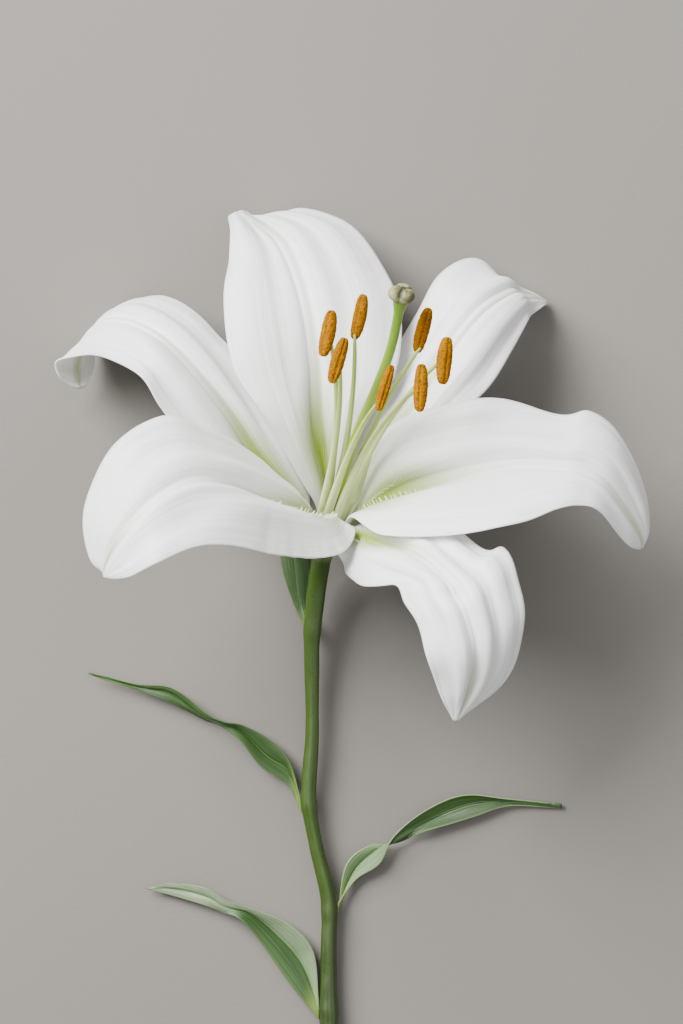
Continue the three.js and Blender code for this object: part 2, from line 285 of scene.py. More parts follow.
@dataclass
class Piece:
    """A mesh in the making, with its name, its material slot and the nodes it stands for."""

    name: str
    slot: str
    nodes: tuple[str, ...] = ()
    made: bmesh.types.BMesh = field(default_factory=bmesh.new)

    def finish(self, place: Placement, finishes: Sequence[bpy.types.Material]) -> bpy.types.Object:
        """Lay the mesh down, make it an object of the part and dress it.

        Args:
            place: Where the flower lies.
            finishes: The materials, in the order of the faces' numbers.

        Returns:
            The new object.
        """
        bmesh.ops.transform(self.made, matrix=place.matrix, verts=self.made.verts)
        for made_face in self.made.faces:
            made_face.smooth = True
        mesh = bpy.data.meshes.new(self.name)
        self.made.to_mesh(mesh)
        self.made.free()
        for finish in finishes:
            mesh.materials.append(finish)
        piece = bpy.data.objects.new(self.name, mesh)
        bpy.context.scene.collection.objects.link(piece)
        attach(piece, "root")
        if self.nodes:
            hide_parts(*self.nodes)
        LOG.info("%s: %d faces", self.name, len(mesh.polygons))
        return piece


def tube(
    made: bmesh.types.BMesh,
    path: Path,
    steps: int,
    sides: int,
    radius: Callable[[float, float], float],
    shares: Callable[[float], float] = lambda share: share,
) -> None:
    """Roll a grid into a closed tube along a path.

    Args:
        made: The mesh to add the tube to.
        path: The middle line, read by share of its length.
        steps: How many rings.
        sides: How many sides each ring has.
        radius: The size at a share of the length and an angle.
        shares: Where along the path each even share lies.
    """
    layer = made.loops.layers.uv.verify()
    grid = bmesh.ops.create_grid(
        made, x_segments=steps, y_segments=sides, size=0.5, calc_uvs=False
    )
    up = Vector((0.3, -0.2, 0.93))
    frames = []
    for i in range(steps + 1):
        share = shares(i / steps)
        way = (path(min(share + 0.004, 1.0)) - path(max(share - 0.004, 0.0))).normalized()
        side = up.cross(way).normalized()
        frames.append((share, path(share), side, way.cross(side)))
    turned = {}
    for vert in grid["verts"]:
        row, ring = round((vert.co.x + 0.5) * steps), round((vert.co.y + 0.5) * sides)
        turned[vert] = (row, ring)
    for made_face in {f for vert in grid["verts"] for f in vert.link_faces}:
        for loop in made_face.loops:
            row, ring = turned[loop.vert]
            loop[layer].uv = (frames[row][0], ring / sides)
    for vert, (row, ring) in turned.items():
        share, middle, side, rise = frames[row]
        angle = 2 * math.pi * (ring % sides) / sides
        reach = radius(share, angle)
        vert.co = middle + side * (reach * math.cos(angle)) + rise * (reach * math.sin(angle))
    bmesh.ops.remove_doubles(made, verts=grid["verts"], dist=1e-5)
    edges = [edge for edge in made.edges if edge.is_boundary]
    bmesh.ops.holes_fill(made, edges=edges, sides=0)
    bmesh.ops.recalc_face_normals(made, faces=made.faces)


class Blade:
    """A petal or leaf surface spanned by ribs of left margin, middle and right margin."""

    def __init__(self, ribs: Sequence[Sequence[Vector]], pad: float) -> None:
        """Draw the three rails through the ribs.

        Args:
            ribs: The ribs from the foot to the tip.
            pad: How far each half swells, as a share of its width.
        """
        self.rails = [Spline([rib[k] for rib in ribs]) for k in range(3)]
        self.pad = pad

    def flat(self, share: float, side: float) -> Vector:
        """A point of the smooth surface.

        Args:
            share: From 0 at the foot to 1 at the tip.
            side: From -1 at the right margin to 1 at the left margin.

        Returns:
            The point.
        """
        return self.row(share, [side])[0][0]

    def normal(self, share: float, side: float) -> Vector:
        """The way the inner face looks at a point.

        Args:
            share: From 0 at the foot to 1 at the tip.
            side: From -1 at the right margin to 1 at the left margin.

        Returns:
            A unit vector.
        """
        step = 0.01
        along = self.flat(min(share + step, 1), side) - self.flat(max(share - step, 0), side)
        over = self.flat(share, min(side + step, 1)) - self.flat(share, max(side - step, -1))
        return along.cross(over).normalized()

    def row(self, share: float, sides: Sequence[float]) -> tuple[list[Vector], float, float]:
        """One row of points across the smooth surface, with the reach of its two halves.

        Args:
            share: From 0 at the foot to 1 at the tip.
            sides: The places across, from -1 to 1.

        Returns:
            The points, the left half's reach and the right half's reach in millimetres.
        """
        left, middle, right = (rail.at(share) for rail in self.rails)
        way = self.rails[1].at(min(share + 0.004, 1)) - self.rails[1].at(max(share - 0.004, 0))
        inner = way.cross(left - right).normalized()
        points = []
        for side in sides:
            reach, out = (left if side > 0 else right) - middle, abs(side)
            swell = self.pad * reach.length * out * (1 - out)
            points.append(middle + reach * out + inner * swell)
        return points, (left - middle).length, (right - middle).length

    def spread(self, made: bmesh.types.BMesh, steps: int, across: int, relief: Relief) -> None:
        """Lay a grid over the surface, thinner towards its margins.

        Args:
            made: The mesh to add to.
            steps: How many faces along.
            across: How many faces across.
            relief: The height over the surface at a share of the length, a side and a reach.
        """
        layer = made.loops.layers.uv.verify()
        body = made.verts.layers.deform.verify()
        grid = bmesh.ops.create_grid(made, x_segments=steps, y_segments=across, size=0.5)
        places = {v: (round((v.co.x + 0.5) * steps), round((v.co.y + 0.5) * across)) for v in grid["verts"]}
        sides = [2 * j / across - 1 for j in range(across + 1)]
        rows = [self.row(i / steps, sides) for i in range(steps + 1)]
        runs = [0.0]
        for (before, _, _), (after, _, _) in zip(rows, rows[1:]):
            runs.append(runs[-1] + (after[across // 2] - before[across // 2]).length)
        shares = [run / runs[-1] for run in runs]
        for made_face in made.faces:
            for loop in made_face.loops:
                i, j = places[loop.vert]
                loop[layer].uv = (shares[i], j / across)
        for vert, (i, j) in places.items():
            points, left, right = rows[i]
            along = rows[min(i + 1, steps)][0][j] - rows[max(i - 1, 0)][0][j]
            over = points[min(j + 1, across)] - points[max(j - 1, 0)]
            out = abs(sides[j])
            lift = relief(shares[i], sides[j], out * (left if sides[j] > 0 else right))
            vert.co = points[j] + along.cross(over).normalized() * lift
            vert[body][0] = 1 - 0.6 * out**3


def sized(ribs: Sequence[Rib], length: float, width: float, origin: Vector) -> list[list[Vector]]:
    """Ribs brought to a wanted length and width about an origin.

    Args:
        ribs: The drawn ribs.
        length: The wanted length of the middle line.
        width: The wanted greatest width.
        origin: Where the ribs are measured from.

    Returns:
        The ribs in place.
    """
    rows = [[Vector(p) for p in rib] for rib in ribs]
    middles = [Vector((0, 0, 0))] + [row[1] for row in rows]
    drawn = sum((b - a).length for a, b in zip(middles, middles[1:]))
    widest = max((l - m).length + (r - m).length for l, m, r in rows)
    grown = []
    for row in rows:
        centre = row[1] * (length / drawn) + origin
        grown.append([(p - row[1]) * (width / widest) + centre for p in row])
    return grown


def stretched(points: Sequence[Triple], length: float) -> list[Vector]:
    """Points of a path from the receptacle, scaled until the path has a wanted length.

    Args:
        points: The drawn points.
        length: The wanted length.

    Returns:
        The points in place.
    """
    drawn = Spline([Vector((0, 0, 0)), *[Vector(p) for p in points]], True).length
    return [Vector(p) * (length / drawn) for p in points]


@dataclass(frozen=True)
class Fold:
    """A long soft ridge or valley: its place across, its spread, its height, its start and end."""

    side: float
    spread: float
    height: float
    start: float
    end: float

    def lift(self, share: float, side: float) -> float:
        """The height of the fold at a share of the length and a place across."""
        fade = smooth(self.start, self.start + 0.18, share) * (1 - smooth(self.end - 0.18, self.end, share))
        return self.height * fade * bump(self.side, self.spread, side)


@dataclass(frozen=True)
class TepalPlan:
    """Where a tepal stands, how big it is and how it bends."""

    name: str
    whorl: Whorl
    turn: float
    length: float
    width: float
    ribs: tuple[Rib, ...]
    folds: tuple[Fold, ...] = ()
    crease: float = 0.04
    ruffle: float = 1.3


@dataclass(frozen=True)
class StamenPlan:
    """Where a stamen stands, where its anther is and how it points."""

    turn: float
    top: Triple
    lean: Triple
    hold: float
    side: Side
    roll: float
    girth: float = 1.0


@dataclass(frozen=True)
class LeafPlan:
    """Where a leaf leaves the stem, how big it is and how it bends and twists."""

    name: str
    length: float
    width: float
    down: float
    side: Triple
    twist: int
    inner_face: Face
    ribs: tuple[Rib, ...]
    keel: float = 1.0


TEPALS = (
    TepalPlan(
        "tepal_inner_top", Whorl.INNER, 105, 1.02, 1.14,
        (
            ((-7, 18, 8), (0, 18, 3), (6, 18, 5)),
            ((-17, 36, 19), (-2, 33, 12), (11, 34, 12)),
            ((-26, 51, 20), (-3, 52, 15), (20, 50, 14)),
            ((-29, 70, 14), (-6, 71, 13), (21, 70, 7)),
            ((-28, 84, 8), (-12, 87, 5), (9, 93, -5)),
            ((-28, 92, 2), (-19, 94, -4), (-7, 100, -14)),
            ((-29, 97.5, -7), (-24, 98, -9), (-19.5, 96.5, -16)),
            ((-27, 99.3, -13), (-25, 99.8, -14), (-22.5, 98.6, -16)),
        ),
        (
            Fold(0.3, 0.12, -0.8, 0.3, 0.98),
            Fold(-0.24, 0.12, 0.9, 0.4, 1.0),
            Fold(-0.42, 0.1, -0.8, 0.4, 1.0),
            Fold(0.65, 0.2, 0.9, 0.35, 1.0),
            Fold(-0.7, 0.2, 0.7, 0.3, 0.9),
        ),
    ),
    TepalPlan(
        "tepal_outer_right", Whorl.OUTER, 45, 1.04, 1.06,
        (
            ((4, 18, -1), (12, 15, 2), (14, 11, 8)),
            ((8, 33, 2), (16, 28, 10), (24, 22, 17)),
            ((16, 50, 2), (27, 42, 13), (38, 34, 20)),
            ((24, 65, -3), (37, 57, 15), (49, 43, 18)),
            ((32, 79, -4), (46, 68, 12), (56, 54, 12)),
            ((43, 85, -12), (55, 74, 3), (61, 64, 5)),
            ((52, 77.3, -19), (59, 74, -4), (63, 67, -3)),
            ((60, 75.7, -18), (64, 73, -11), (66, 70, -10)),
            ((66, 72, -16), (67, 72, -15), (67, 71, -15)),
        ),
        (
            Fold(0.25, 0.12, 0.9, 0.35, 0.98),
            Fold(0.5, 0.14, -0.9, 0.4, 0.92),
            Fold(-0.45, 0.2, 0.9, 0.3, 0.9),
            Fold(-0.8, 0.14, -0.7, 0.45, 0.95),
        ),
    ),
    TepalPlan(
        "tepal_inner_right", Whorl.INNER, 345, 1.058, 0.96,
        (
            ((11, 14, 9), (11, 8, 13), (8, 7, 22)),
            ((18, 32, 22), (21, 14, 22), (17, 2, 38)),
            ((34, 39, 30), (36, 19, 32), (34, 2, 48)),
            ((52, 41, 34), (53, 22, 40), (54, 5, 53)),
            ((69, 36.6, 37), (68, 21.6, 44), (66, 9.4, 53)),
            ((77, 37.4, 36.5), (75, 20.5, 44), (72.5, 10.5, 51.5)),
            ((86, 31, 34), (81, 16, 43), (78, 9, 49)),
            ((94, 15, 29), (88, 7, 38), (85, 2, 42)),
            ((95, 4, 28), (91.5, 1, 34), (88.5, -1.5, 37)),
            ((92.6, -1.8, 31), (92, -2, 32), (91.2, -2.3, 32)),
        ),
        (
            Fold(0.0, 0.16, -1.2, 0.1, 0.6),
            Fold(-0.22, 0.12, 1.2, 0.1, 0.5),
            Fold(0.3, 0.16, 0.9, 0.2, 0.9),
            Fold(0.62, 0.14, -0.8, 0.2, 0.85),
            Fold(-0.55, 0.2, -0.7, 0.35, 0.95),
            Fold(0.5, 0.16, 0.9, 0.7, 1.0),
            Fold(-0.3, 0.12, 0.8, 0.65, 1.0),
        ),
    ),
    TepalPlan(
        "tepal_inner_left", Whorl.INNER, 225, 0.98, 0.93,
        (
            ((8, 4, 22), (-3, 7, 17), (-7, 12, 12)),
            ((6.6, -1.4, 31), (-4.5, 8, 24.5), (-9.5, 15, 18)),
            ((0, -4, 40), (-7, 10, 32), (-12, 18, 24)),
            ((-14, -3, 54), (-18, 14, 44), (-23, 27, 36)),
            ((-27, 0, 66), (-28, 17, 54), (-34, 32, 46)),
            ((-37, -1, 70), (-38, 17, 61), (-46, 35, 53)),
            ((-46, -5, 73), (-48, 11, 66), (-60, 26, 57)),
            ((-54, -9, 70), (-56, 2, 66), (-67, 10, 57)),
            ((-58, -10, 66), (-60, -4, 63), (-66, -4, 57)),
            ((-62, -10, 60), (-62, -9, 60), (-62, -9, 59)),
        ),
        (
            Fold(0.4, 0.2, 2.4, 0.06, 0.62),
            Fold(0.04, 0.16, -1.8, 0.1, 0.62),
            Fold(0.15, 0.06, 0.9, 0.26, 0.92),
            Fold(0.02, 0.06, -0.7, 0.26, 0.92),
            Fold(-0.3, 0.14, 1.0, 0.25, 0.9),
            Fold(-0.55, 0.14, -0.9, 0.25, 0.9),
            Fold(0.6, 0.18, -0.9, 0.5, 1.0),
            Fold(0.25, 0.14, 0.8, 0.6, 1.0),
        ),
        0.5,
    ),
    TepalPlan(
        "tepal_outer_front", Whorl.OUTER, 287, 0.973, 1.006,
        (
            ((12, 5, 13), (8, 2, 18), (5, -5, 20)),
            ((22, 8, 27), (17, 0, 34), (8, -10, 32)),
            ((33, 8, 38), (27, -3, 46), (13, -13, 40)),
            ((46.6, -3.2, 47), (36, -11, 56), (22, -13, 50)),
            ((52.2, -3, 49.5), (38.6, -15.5, 58.5), (24.5, -18, 53.5)),
            ((55.4, -9.5, 52), (41, -20, 61), (28, -24, 56)),
            ((57, -23, 52), (44, -31, 60), (31, -34, 57)),
            ((54, -39, 48), (43, -41, 54), (34, -44, 53)),
            ((40, -52, 47), (39, -52.8, 47), (38, -52.6, 47)),
        ),
        (
            Fold(0.0, 0.12, -1.5, 0.2, 1.0),
            Fold(0.22, 0.12, 1.1, 0.25, 1.0),
            Fold(0.45, 0.12, -0.6, 0.3, 0.95),
            Fold(0.68, 0.14, 0.6, 0.3, 0.95),
            Fold(-0.3, 0.16, 0.8, 0.25, 1.0),
            Fold(-0.62, 0.16, -0.5, 0.35, 0.9),
        ),
    ),
    TepalPlan(
        "tepal_outer_left", Whorl.OUTER, 165, 1.128, 1.06,
        (
            ((-11, 8, 12), (-10, 13, 8), (-6, 19, 4)),
            ((-26, 18, 20), (-19, 24, 14), (-11, 31, 9)),
            ((-39, 29, 25), (-28, 38, 18), (-20, 44, 11)),
            ((-48, 40, 28), (-39, 51, 20), (-29, 58, 10)),
            ((-54, 49, 28), (-50, 61, 18), (-39, 68, 4)),
            ((-63, 54, 20), (-61, 66, 9), (-50, 74, -6)),
            ((-72, 56, 9), (-70, 65, -2), (-61, 72, -16)),
            ((-81, 54.5, 0), (-75.5, 55.5, -9), (-70, 61, -19)),
            ((-80.5, 49.5, -4), (-76, 49, -10), (-72, 51.5, -15)),
            ((-77, 46.6, -8), (-75.3, 46.4, -9.5), (-73.8, 47, -11)),
        ),
        (
            Fold(-0.3, 0.16, 1.0, 0.2, 0.85),
            Fold(0.35, 0.18, 1.1, 0.3, 0.85),
            Fold(0.65, 0.14, -0.8, 0.3, 0.85),
            Fold(-0.65, 0.16, -0.8, 0.3, 0.8),
        ),
    ),
)

FRINGES = {
    "inner_right": ((0.13, -0.2, 0.35, -0.17), (0.15, 0.14, 0.28, 0.14)),
    "inner_left": ((0.12, 0.5, 0.42, 0.22), (0.14, 0.1, 0.36, 0.04)),
    "outer_front": ((0.12, 0.3, 0.26, 0.2), (0.12, -0.2, 0.26, -0.2)),
}

STAMENS = (
    StamenPlan(141, (1, 59, 50), (0.2, 1, 0), 0, Side.BACK, -25, 1.08),
    StamenPlan(192, (4, 51, 57), (0.3, 1, 0.1), 0, Side.BACK, 15),
    StamenPlan(90, (10, 64, 46), (0.2, 0.95, 0.25), -0.38, Side.FRONT, -30),
    StamenPlan(243, (17, 43, 64), (0.3, 1, 0), -0.3, Side.BACK, 20, 0.8),
    StamenPlan(39, (28, 60, 49), (0.25, 0.95, 0.25), -0.36, Side.FRONT, 10),
    StamenPlan(294, (27, 43, 64), (0.05, 1, 0), 0, Side.BACK, -10),
    StamenPlan(345, (34, 51, 56), (0.1, 1, 0.1), 0, Side.BACK, 25, 1.12),
)

# The three anthers whose places in the frame fix where the whole flower lies.
KNOWN_ANTHERS = (1, 3, 7)

PISTIL = ((3, 11, 10), (9, 30, 27), (15, 44, 41), (19, 55, 49), (22, 71, 60))

STEM = (
    ((-1, -5, -4), 1.3),
    ((-2, -11, -8), 1.25),
    ((-3, -19, -10), 1.03),
    ((-4, -30, -11), 0.88),
    ((-4, -43, -12), 0.99),
    ((-4, -60, -12), 0.92),
    ((-5, -80, -12), 1.02),
    ((-3, -93, -12), 1.06),
    ((1, -111, -12), 1.22),
    ((1, -125, -12), 1.15),
    ((1, -142, -12), 1.12),
    ((2, -175, -12), 1.12),
    ((4, -224, -12), 1.15),
)

LEAVES = (
    LeafPlan(
        "leaf_upper", 0.62, 0.95, 0.135, (-0.55, 0, -0.85), 9, Face.UPPER,
        (
            ((-6, 9, -5.4), (-4, 8, -5.3), (-1, 8, -6)),
            ((-9, 19, -5), (-5, 18, -5), (-1, 17, -6)),
            ((-10, 29, -5), (-6, 28, -5), (-3, 27, -6)),
            ((-9, 40, -4.6), (-6, 40, -4.5), (-4, 40, -5)),
            ((-5, 49, -4), (-5, 49, -4), (-4, 49, -4)),
        ),
        0.1,
    ),
    LeafPlan(
        "leaf_left", 0.98, 1, 0.372, (-1, 0, 0), 99, Face.UPPER,
        (
            ((-7, 6, -2), (-6, 10, -3), (-6, 14, -1)),
            ((-15, 11, -1), (-13, 15, -3), (-12, 21, -1)),
            ((-21, 19, 0), (-20, 22, -2), (-20, 25, 0)),
            ((-27, 24, -2), (-26, 25, -1), (-26, 26, 1)),
            ((-33, 26, -4), (-32, 27, -2), (-32, 29, 0)),
            ((-43, 31, -2), (-42, 34, -3), (-42, 36, -1)),
            ((-53, 35, -3), (-53, 36, -4), (-53, 37, -3)),
            ((-67, 40, -3), (-67, 40, -3), (-67, 40, -3)),
        ),
    ),
    LeafPlan(
        "leaf_right", 1, 0.9, 0.515, (1, 0, 0), 3, Face.UNDER,
        (
            ((5, 13, -1), (7, 11, -3), (8, 9, -1)),
            ((12, 19, -1), (13, 17, -2), (15, 14, 0)),
            ((19, 22, 1), (20, 21, 0), (20, 20, -2)),
            ((28, 29, 0), (29, 26, -2), (30, 24, 0)),
            ((40, 34, 0), (42, 31, -2), (43, 28, 0)),
            ((53, 33, -1), (53, 32, -2), (54, 31, -1)),
            ((68, 31, -2), (69, 31, -2), (69, 30, -2)),
        ),
    ),
    LeafPlan(
        "leaf_lower", 0.86, 1.4, 0.65, (-1, 0, 0), 99, Face.UPPER,
        (
            ((-12, 7, 0), (-8, 14, -3), (-4, 18, 0)),
            ((-21, 20, 0), (-17, 24, -3), (-11, 26, 0)),
            ((-27, 27, 1), (-24, 29, -2), (-21, 30, 0)),
            ((-32, 29, -2), (-31, 31, -1), (-30, 33, 0)),
            ((-38, 31, -2), (-37, 34, -2), (-37, 37, 0)),
            ((-48, 34, -3), (-47, 36, -4), (-47, 38, -3)),
            ((-55, 36, -3), (-55, 36, -3), (-55, 36, -3)),
        ),
    ),
)


class Graph:
    """A small helper that adds and joins the nodes of a material or a node group."""

    def __init__(self, tree: bpy.types.NodeTree) -> None:
        """Keep the tree to build in."""
        self.tree = tree

    def add(self, kind: str, **settings: object) -> bpy.types.Node:
        """Add a node.

        Args:
            kind: The node's type, without its ShaderNode prefix.
            settings: Properties of the node, and values of its input sockets.

        Returns:
            The node.
        """
        prefix = "" if kind.startswith("NodeGroup") else "ShaderNode"
        node = self.tree.nodes.new(prefix + kind)
        for key, value in settings.items():
            if hasattr(node, key):
                setattr(node, key, value)
            else:
                self.put(node, key.replace("_", " "), value)
        return node

    def put(self, node: bpy.types.Node, socket: str | int, value: object) -> None:
        """Set an input, by joining an output to it or by giving it a plain value.

        Args:
            node: The node.
            socket: The input's name or number.
            value: An output, a node whose first output is meant, or a plain value.
        """
        target = node.inputs[socket]
        if isinstance(value, bpy.types.NodeSocket):
            self.tree.links.new(value, target)
        elif isinstance(value, bpy.types.Node):
            self.tree.links.new(value.outputs[0], target)
        else:
            target.default_value = value

    def math(self, operation: str, *values: object, clamp: bool = False) -> bpy.types.NodeSocket:
        """A number worked out from other numbers.

        Args:
            operation: The name of the operation.
            values: Sockets or plain numbers.
            clamp: Whether the result is held between 0 and 1.

        Returns:
            The result.
        """
        node = self.add("Math", operation=operation, use_clamp=clamp)
        for k, value in enumerate(values):
            self.put(node, k, value)
        return node.outputs[0]

    def span(
        self, value: object, low: float, high: float, start: float = 0, end: float = 1
    ) -> bpy.types.NodeSocket:
        """A number taken smoothly from one range to another.

        Args:
            value: The number to read.
            low: Where the range starts.
            high: Where the range ends.
            start: The result at low.
            end: The result at high.

        Returns:
            The result.
        """
        node = self.add("MapRange", interpolation_type="SMOOTHSTEP")
        for k, number in enumerate((value, low, high, start, end)):
            self.put(node, k, number)
        return node.outputs[0]

    def mix(self, share: object, one: object, two: object) -> bpy.types.NodeSocket:
        """A colour between two colours.

        Args:
            share: 0 for the first, 1 for the second.
            one: The first colour.
            two: The second colour.

        Returns:
            The mixed colour.
        """
        node = self.add("Mix", data_type="RGBA")
        self.put(node, 0, share)
        self.put(node, 6, one)
        self.put(node, 7, two)
        return node.outputs[2]


def tint(red: float, green: float, blue: float) -> Colour:
    """A colour with full cover."""
    return (red, green, blue, 1.0)


def group(name: str, inputs: dict[str, float], outputs: Sequence[str]) -> tuple[bpy.types.NodeTree, Graph]:
    """A new shader node group with number sockets and a vector socket.

    Args:
        name: The group's name.
        inputs: The names and starting values of its number inputs.
        outputs: The names of its number outputs.

    Returns:
        The group and a helper that builds in it.
    """
    tree = bpy.data.node_groups.new(name, "ShaderNodeTree")
    tree.interface.new_socket("Vector", in_out="INPUT", socket_type="NodeSocketVector")
    for key, value in inputs.items():
        socket = tree.interface.new_socket(key, in_out="INPUT", socket_type="NodeSocketFloat")
        socket.default_value = value
    for key in outputs:
        tree.interface.new_socket(key, in_out="OUTPUT", socket_type="NodeSocketFloat")
    return tree, Graph(tree)


def fibre_group() -> bpy.types.NodeTree:
    """Fine lines that run from the foot to the tip of a petal, leaf or stalk.

    Returns:
        The group, with coarse and fine lines as its outputs.
    """
    tree, graph = group("fibre_lines", {"Lines": 60.0, "Waver": 3.0, "Fine": 3.0}, ("Coarse", "Fine"))
    given = graph.add("NodeGroupInput")
    split = graph.add("SeparateXYZ", Vector=given.outputs["Vector"])
    along = graph.math("MULTIPLY", split.outputs[0], given.outputs["Waver"])
    finer = graph.math("MULTIPLY", given.outputs["Lines"], given.outputs["Fine"])
    out = graph.add("NodeGroupOutput")
    for key, lines, layer in (("Coarse", given.outputs["Lines"], 0.0), ("Fine", finer, 7.3)):
        over = graph.math("MULTIPLY", split.outputs[1], lines)
        place = graph.add("CombineXYZ", X=along, Y=over, Z=layer)
        streak = graph.add("TexNoise", Vector=place, Scale=1.0, Detail=2.0, Roughness=0.5)
        graph.put(out, key, streak.outputs[0])
    return tree


def mottle_group() -> bpy.types.NodeTree:
    """Soft patches and a fine grain that keep a living surface from looking even.

    Returns:
        The group, with the patches and the grain as its outputs.
    """
    tree, graph = group("living_mottle", {"Patch": 90.0, "Grain": 2200.0}, ("Patches", "Grain"))
    given = graph.add("NodeGroupInput")
    patch = graph.add("TexNoise", Vector=given.outputs["Vector"], Scale=given.outputs["Patch"], Detail=3.0)
    cells = graph.add("TexVoronoi", Vector=given.outputs["Vector"], Scale=given.outputs["Grain"])
    out = graph.add("NodeGroupOutput")
    graph.put(out, "Patches", patch.outputs[0])
    graph.put(out, "Grain", cells.outputs["Distance"])
    return tree


@dataclass
class Groups:
    """The node groups that the finishes share."""

    fibres: bpy.types.NodeTree = field(default_factory=fibre_group)
    mottle: bpy.types.NodeTree = field(default_factory=mottle_group)


class Dresser:
    """The start that every finish shares: a shader, the piece's own map and its place."""

    def __init__(self, name: str, groups: Groups, **plain: object) -> None:
        """Make the material and its shader.

        Args:
            name: The material's name.
            groups: The shared node groups.
            plain: Plain values for the shader's own sockets.
        """
        self.material = bpy.data.materials.new(name)
        self.material.use_nodes = True
        self.graph = Graph(self.material.node_tree)
        self.groups = groups
        self.shader = self.material.node_tree.nodes["Principled BSDF"]
        for key, value in plain.items():
            self.graph.put(self.shader, key.replace("_", " "), value)
        self.map = self.graph.add("UVMap")
        self.place = self.graph.add("TexCoord").outputs["Object"]
        split = self.graph.add("SeparateXYZ", Vector=self.map)
        self.along, self.over = split.outputs[0], split.outputs[1]
        apart = self.graph.math("SUBTRACT", self.over, 0.5)
        self.out = self.graph.math("MULTIPLY", self.graph.math("ABSOLUTE", apart), 2.0)

    def fibres(self, lines: float, waver: float, fine: float = 3.0) -> bpy.types.Node:
        """Place the fibre lines.

        Args:
            lines: How many lines across.
            waver: How often they change along.
            fine: How many times finer the fine ones are.

        Returns:
            The group node.
        """
        node = self.graph.add("Group", node_tree=self.groups.fibres, Vector=self.map)
        self.graph.put(node, "Lines", lines)
        self.graph.put(node, "Waver", waver)
        self.graph.put(node, "Fine", fine)
        return node

    def mottle(self, patch: float, grain: float) -> bpy.types.Node:
        """Place the mottle.

        Args:
            patch: How close the soft patches stand, per metre.
            grain: How close the grains stand, per metre.

        Returns:
            The group node.
        """
        node = self.graph.add("Group", node_tree=self.groups.mottle, Vector=self.place)
        self.graph.put(node, "Patch", patch)
        self.graph.put(node, "Grain", grain)
        return node

    def dress(self, colour: object, rough: object, height: object, depth: float) -> bpy.types.Material:
        """Join colour, roughness and relief to the shader.

        Args:
            colour: The base colour.
            rough: The roughness.
            height: The relief, from 0 to 1.
            depth: How deep the relief is, in metres.

        Returns:
            The finished material.
        """
        self.graph.put(self.shader, "Base Color", colour)
        self.graph.put(self.shader, "Roughness", rough)
        relief = self.graph.add("Bump", Strength=1.0, Distance=depth, Height=height)
        self.graph.put(self.shader, "Normal", relief)
        return self.material


@dataclass(frozen=True)
class PetalFinish:
    """Thin white petal with fine lines, greenish at the throat."""

    bloom: Colour = tint(0.92, 0.92, 0.915)
    shade: Colour = tint(0.82, 0.822, 0.82)
    throat: Colour = tint(0.2, 0.29, 0.0)
    reach: float = 0.52
    spread: float = 0.1
    tip_green: float = 0.65

    def material(self, name: str, groups: Groups) -> bpy.types.Material:
        """Build the material.

        Args:
            name: The material's name.
            groups: The shared node groups.

        Returns:
            The material.
        """
        work = Dresser(name, groups, Subsurface_Weight=0.35, Subsurface_Scale=0.004, Sheen_Weight=0.15)
        graph = work.graph
        work.shader.inputs["Subsurface Radius"].default_value = (1.0, 0.95, 0.8)
        lines, patches = work.fibres(46.0, 2.5), work.mottle(70.0, 2600.0)
        colour = graph.mix(graph.span(lines.outputs["Coarse"], 0.35, 0.75), self.bloom, self.shade)
        near = graph.span(work.along, self.reach, 0.2)
        wide = graph.math("ADD", graph.math("MULTIPLY", near, 0.55), self.spread)
        middle = graph.math("SUBTRACT", 1.0, graph.math("DIVIDE", work.out, wide), clamp=True)
        green = graph.math("MULTIPLY", near, graph.span(middle, 0.0, 0.9))
        streaky = graph.math("MULTIPLY", green, graph.span(lines.outputs["Fine"], 0.2, 0.6, 0.75, 1.0))
        colour = graph.mix(streaky, colour, self.throat)
        line = graph.math("MULTIPLY", graph.span(work.along, 0.72, 0.4), graph.span(work.out, 0.09, 0.0))
        colour = graph.mix(graph.math("MULTIPLY", line, 0.4), colour, self.throat)
        keel = graph.math("MULTIPLY", graph.span(work.along, 0.72, 1.0), graph.span(work.out, 0.3, 0.0))
        colour = graph.mix(graph.math("MULTIPLY", keel, self.tip_green), colour, self.throat)
        rough = graph.span(patches.outputs["Patches"], 0.3, 0.7, 0.42, 0.56)
        fine = graph.math("MULTIPLY", lines.outputs["Fine"], 0.5)
        relief = graph.math("ADD", lines.outputs["Coarse"], fine)
        relief = graph.math("ADD", relief, graph.math("MULTIPLY", patches.outputs["Grain"], 0.12))
        return work.dress(colour, rough, relief, 0.00012)


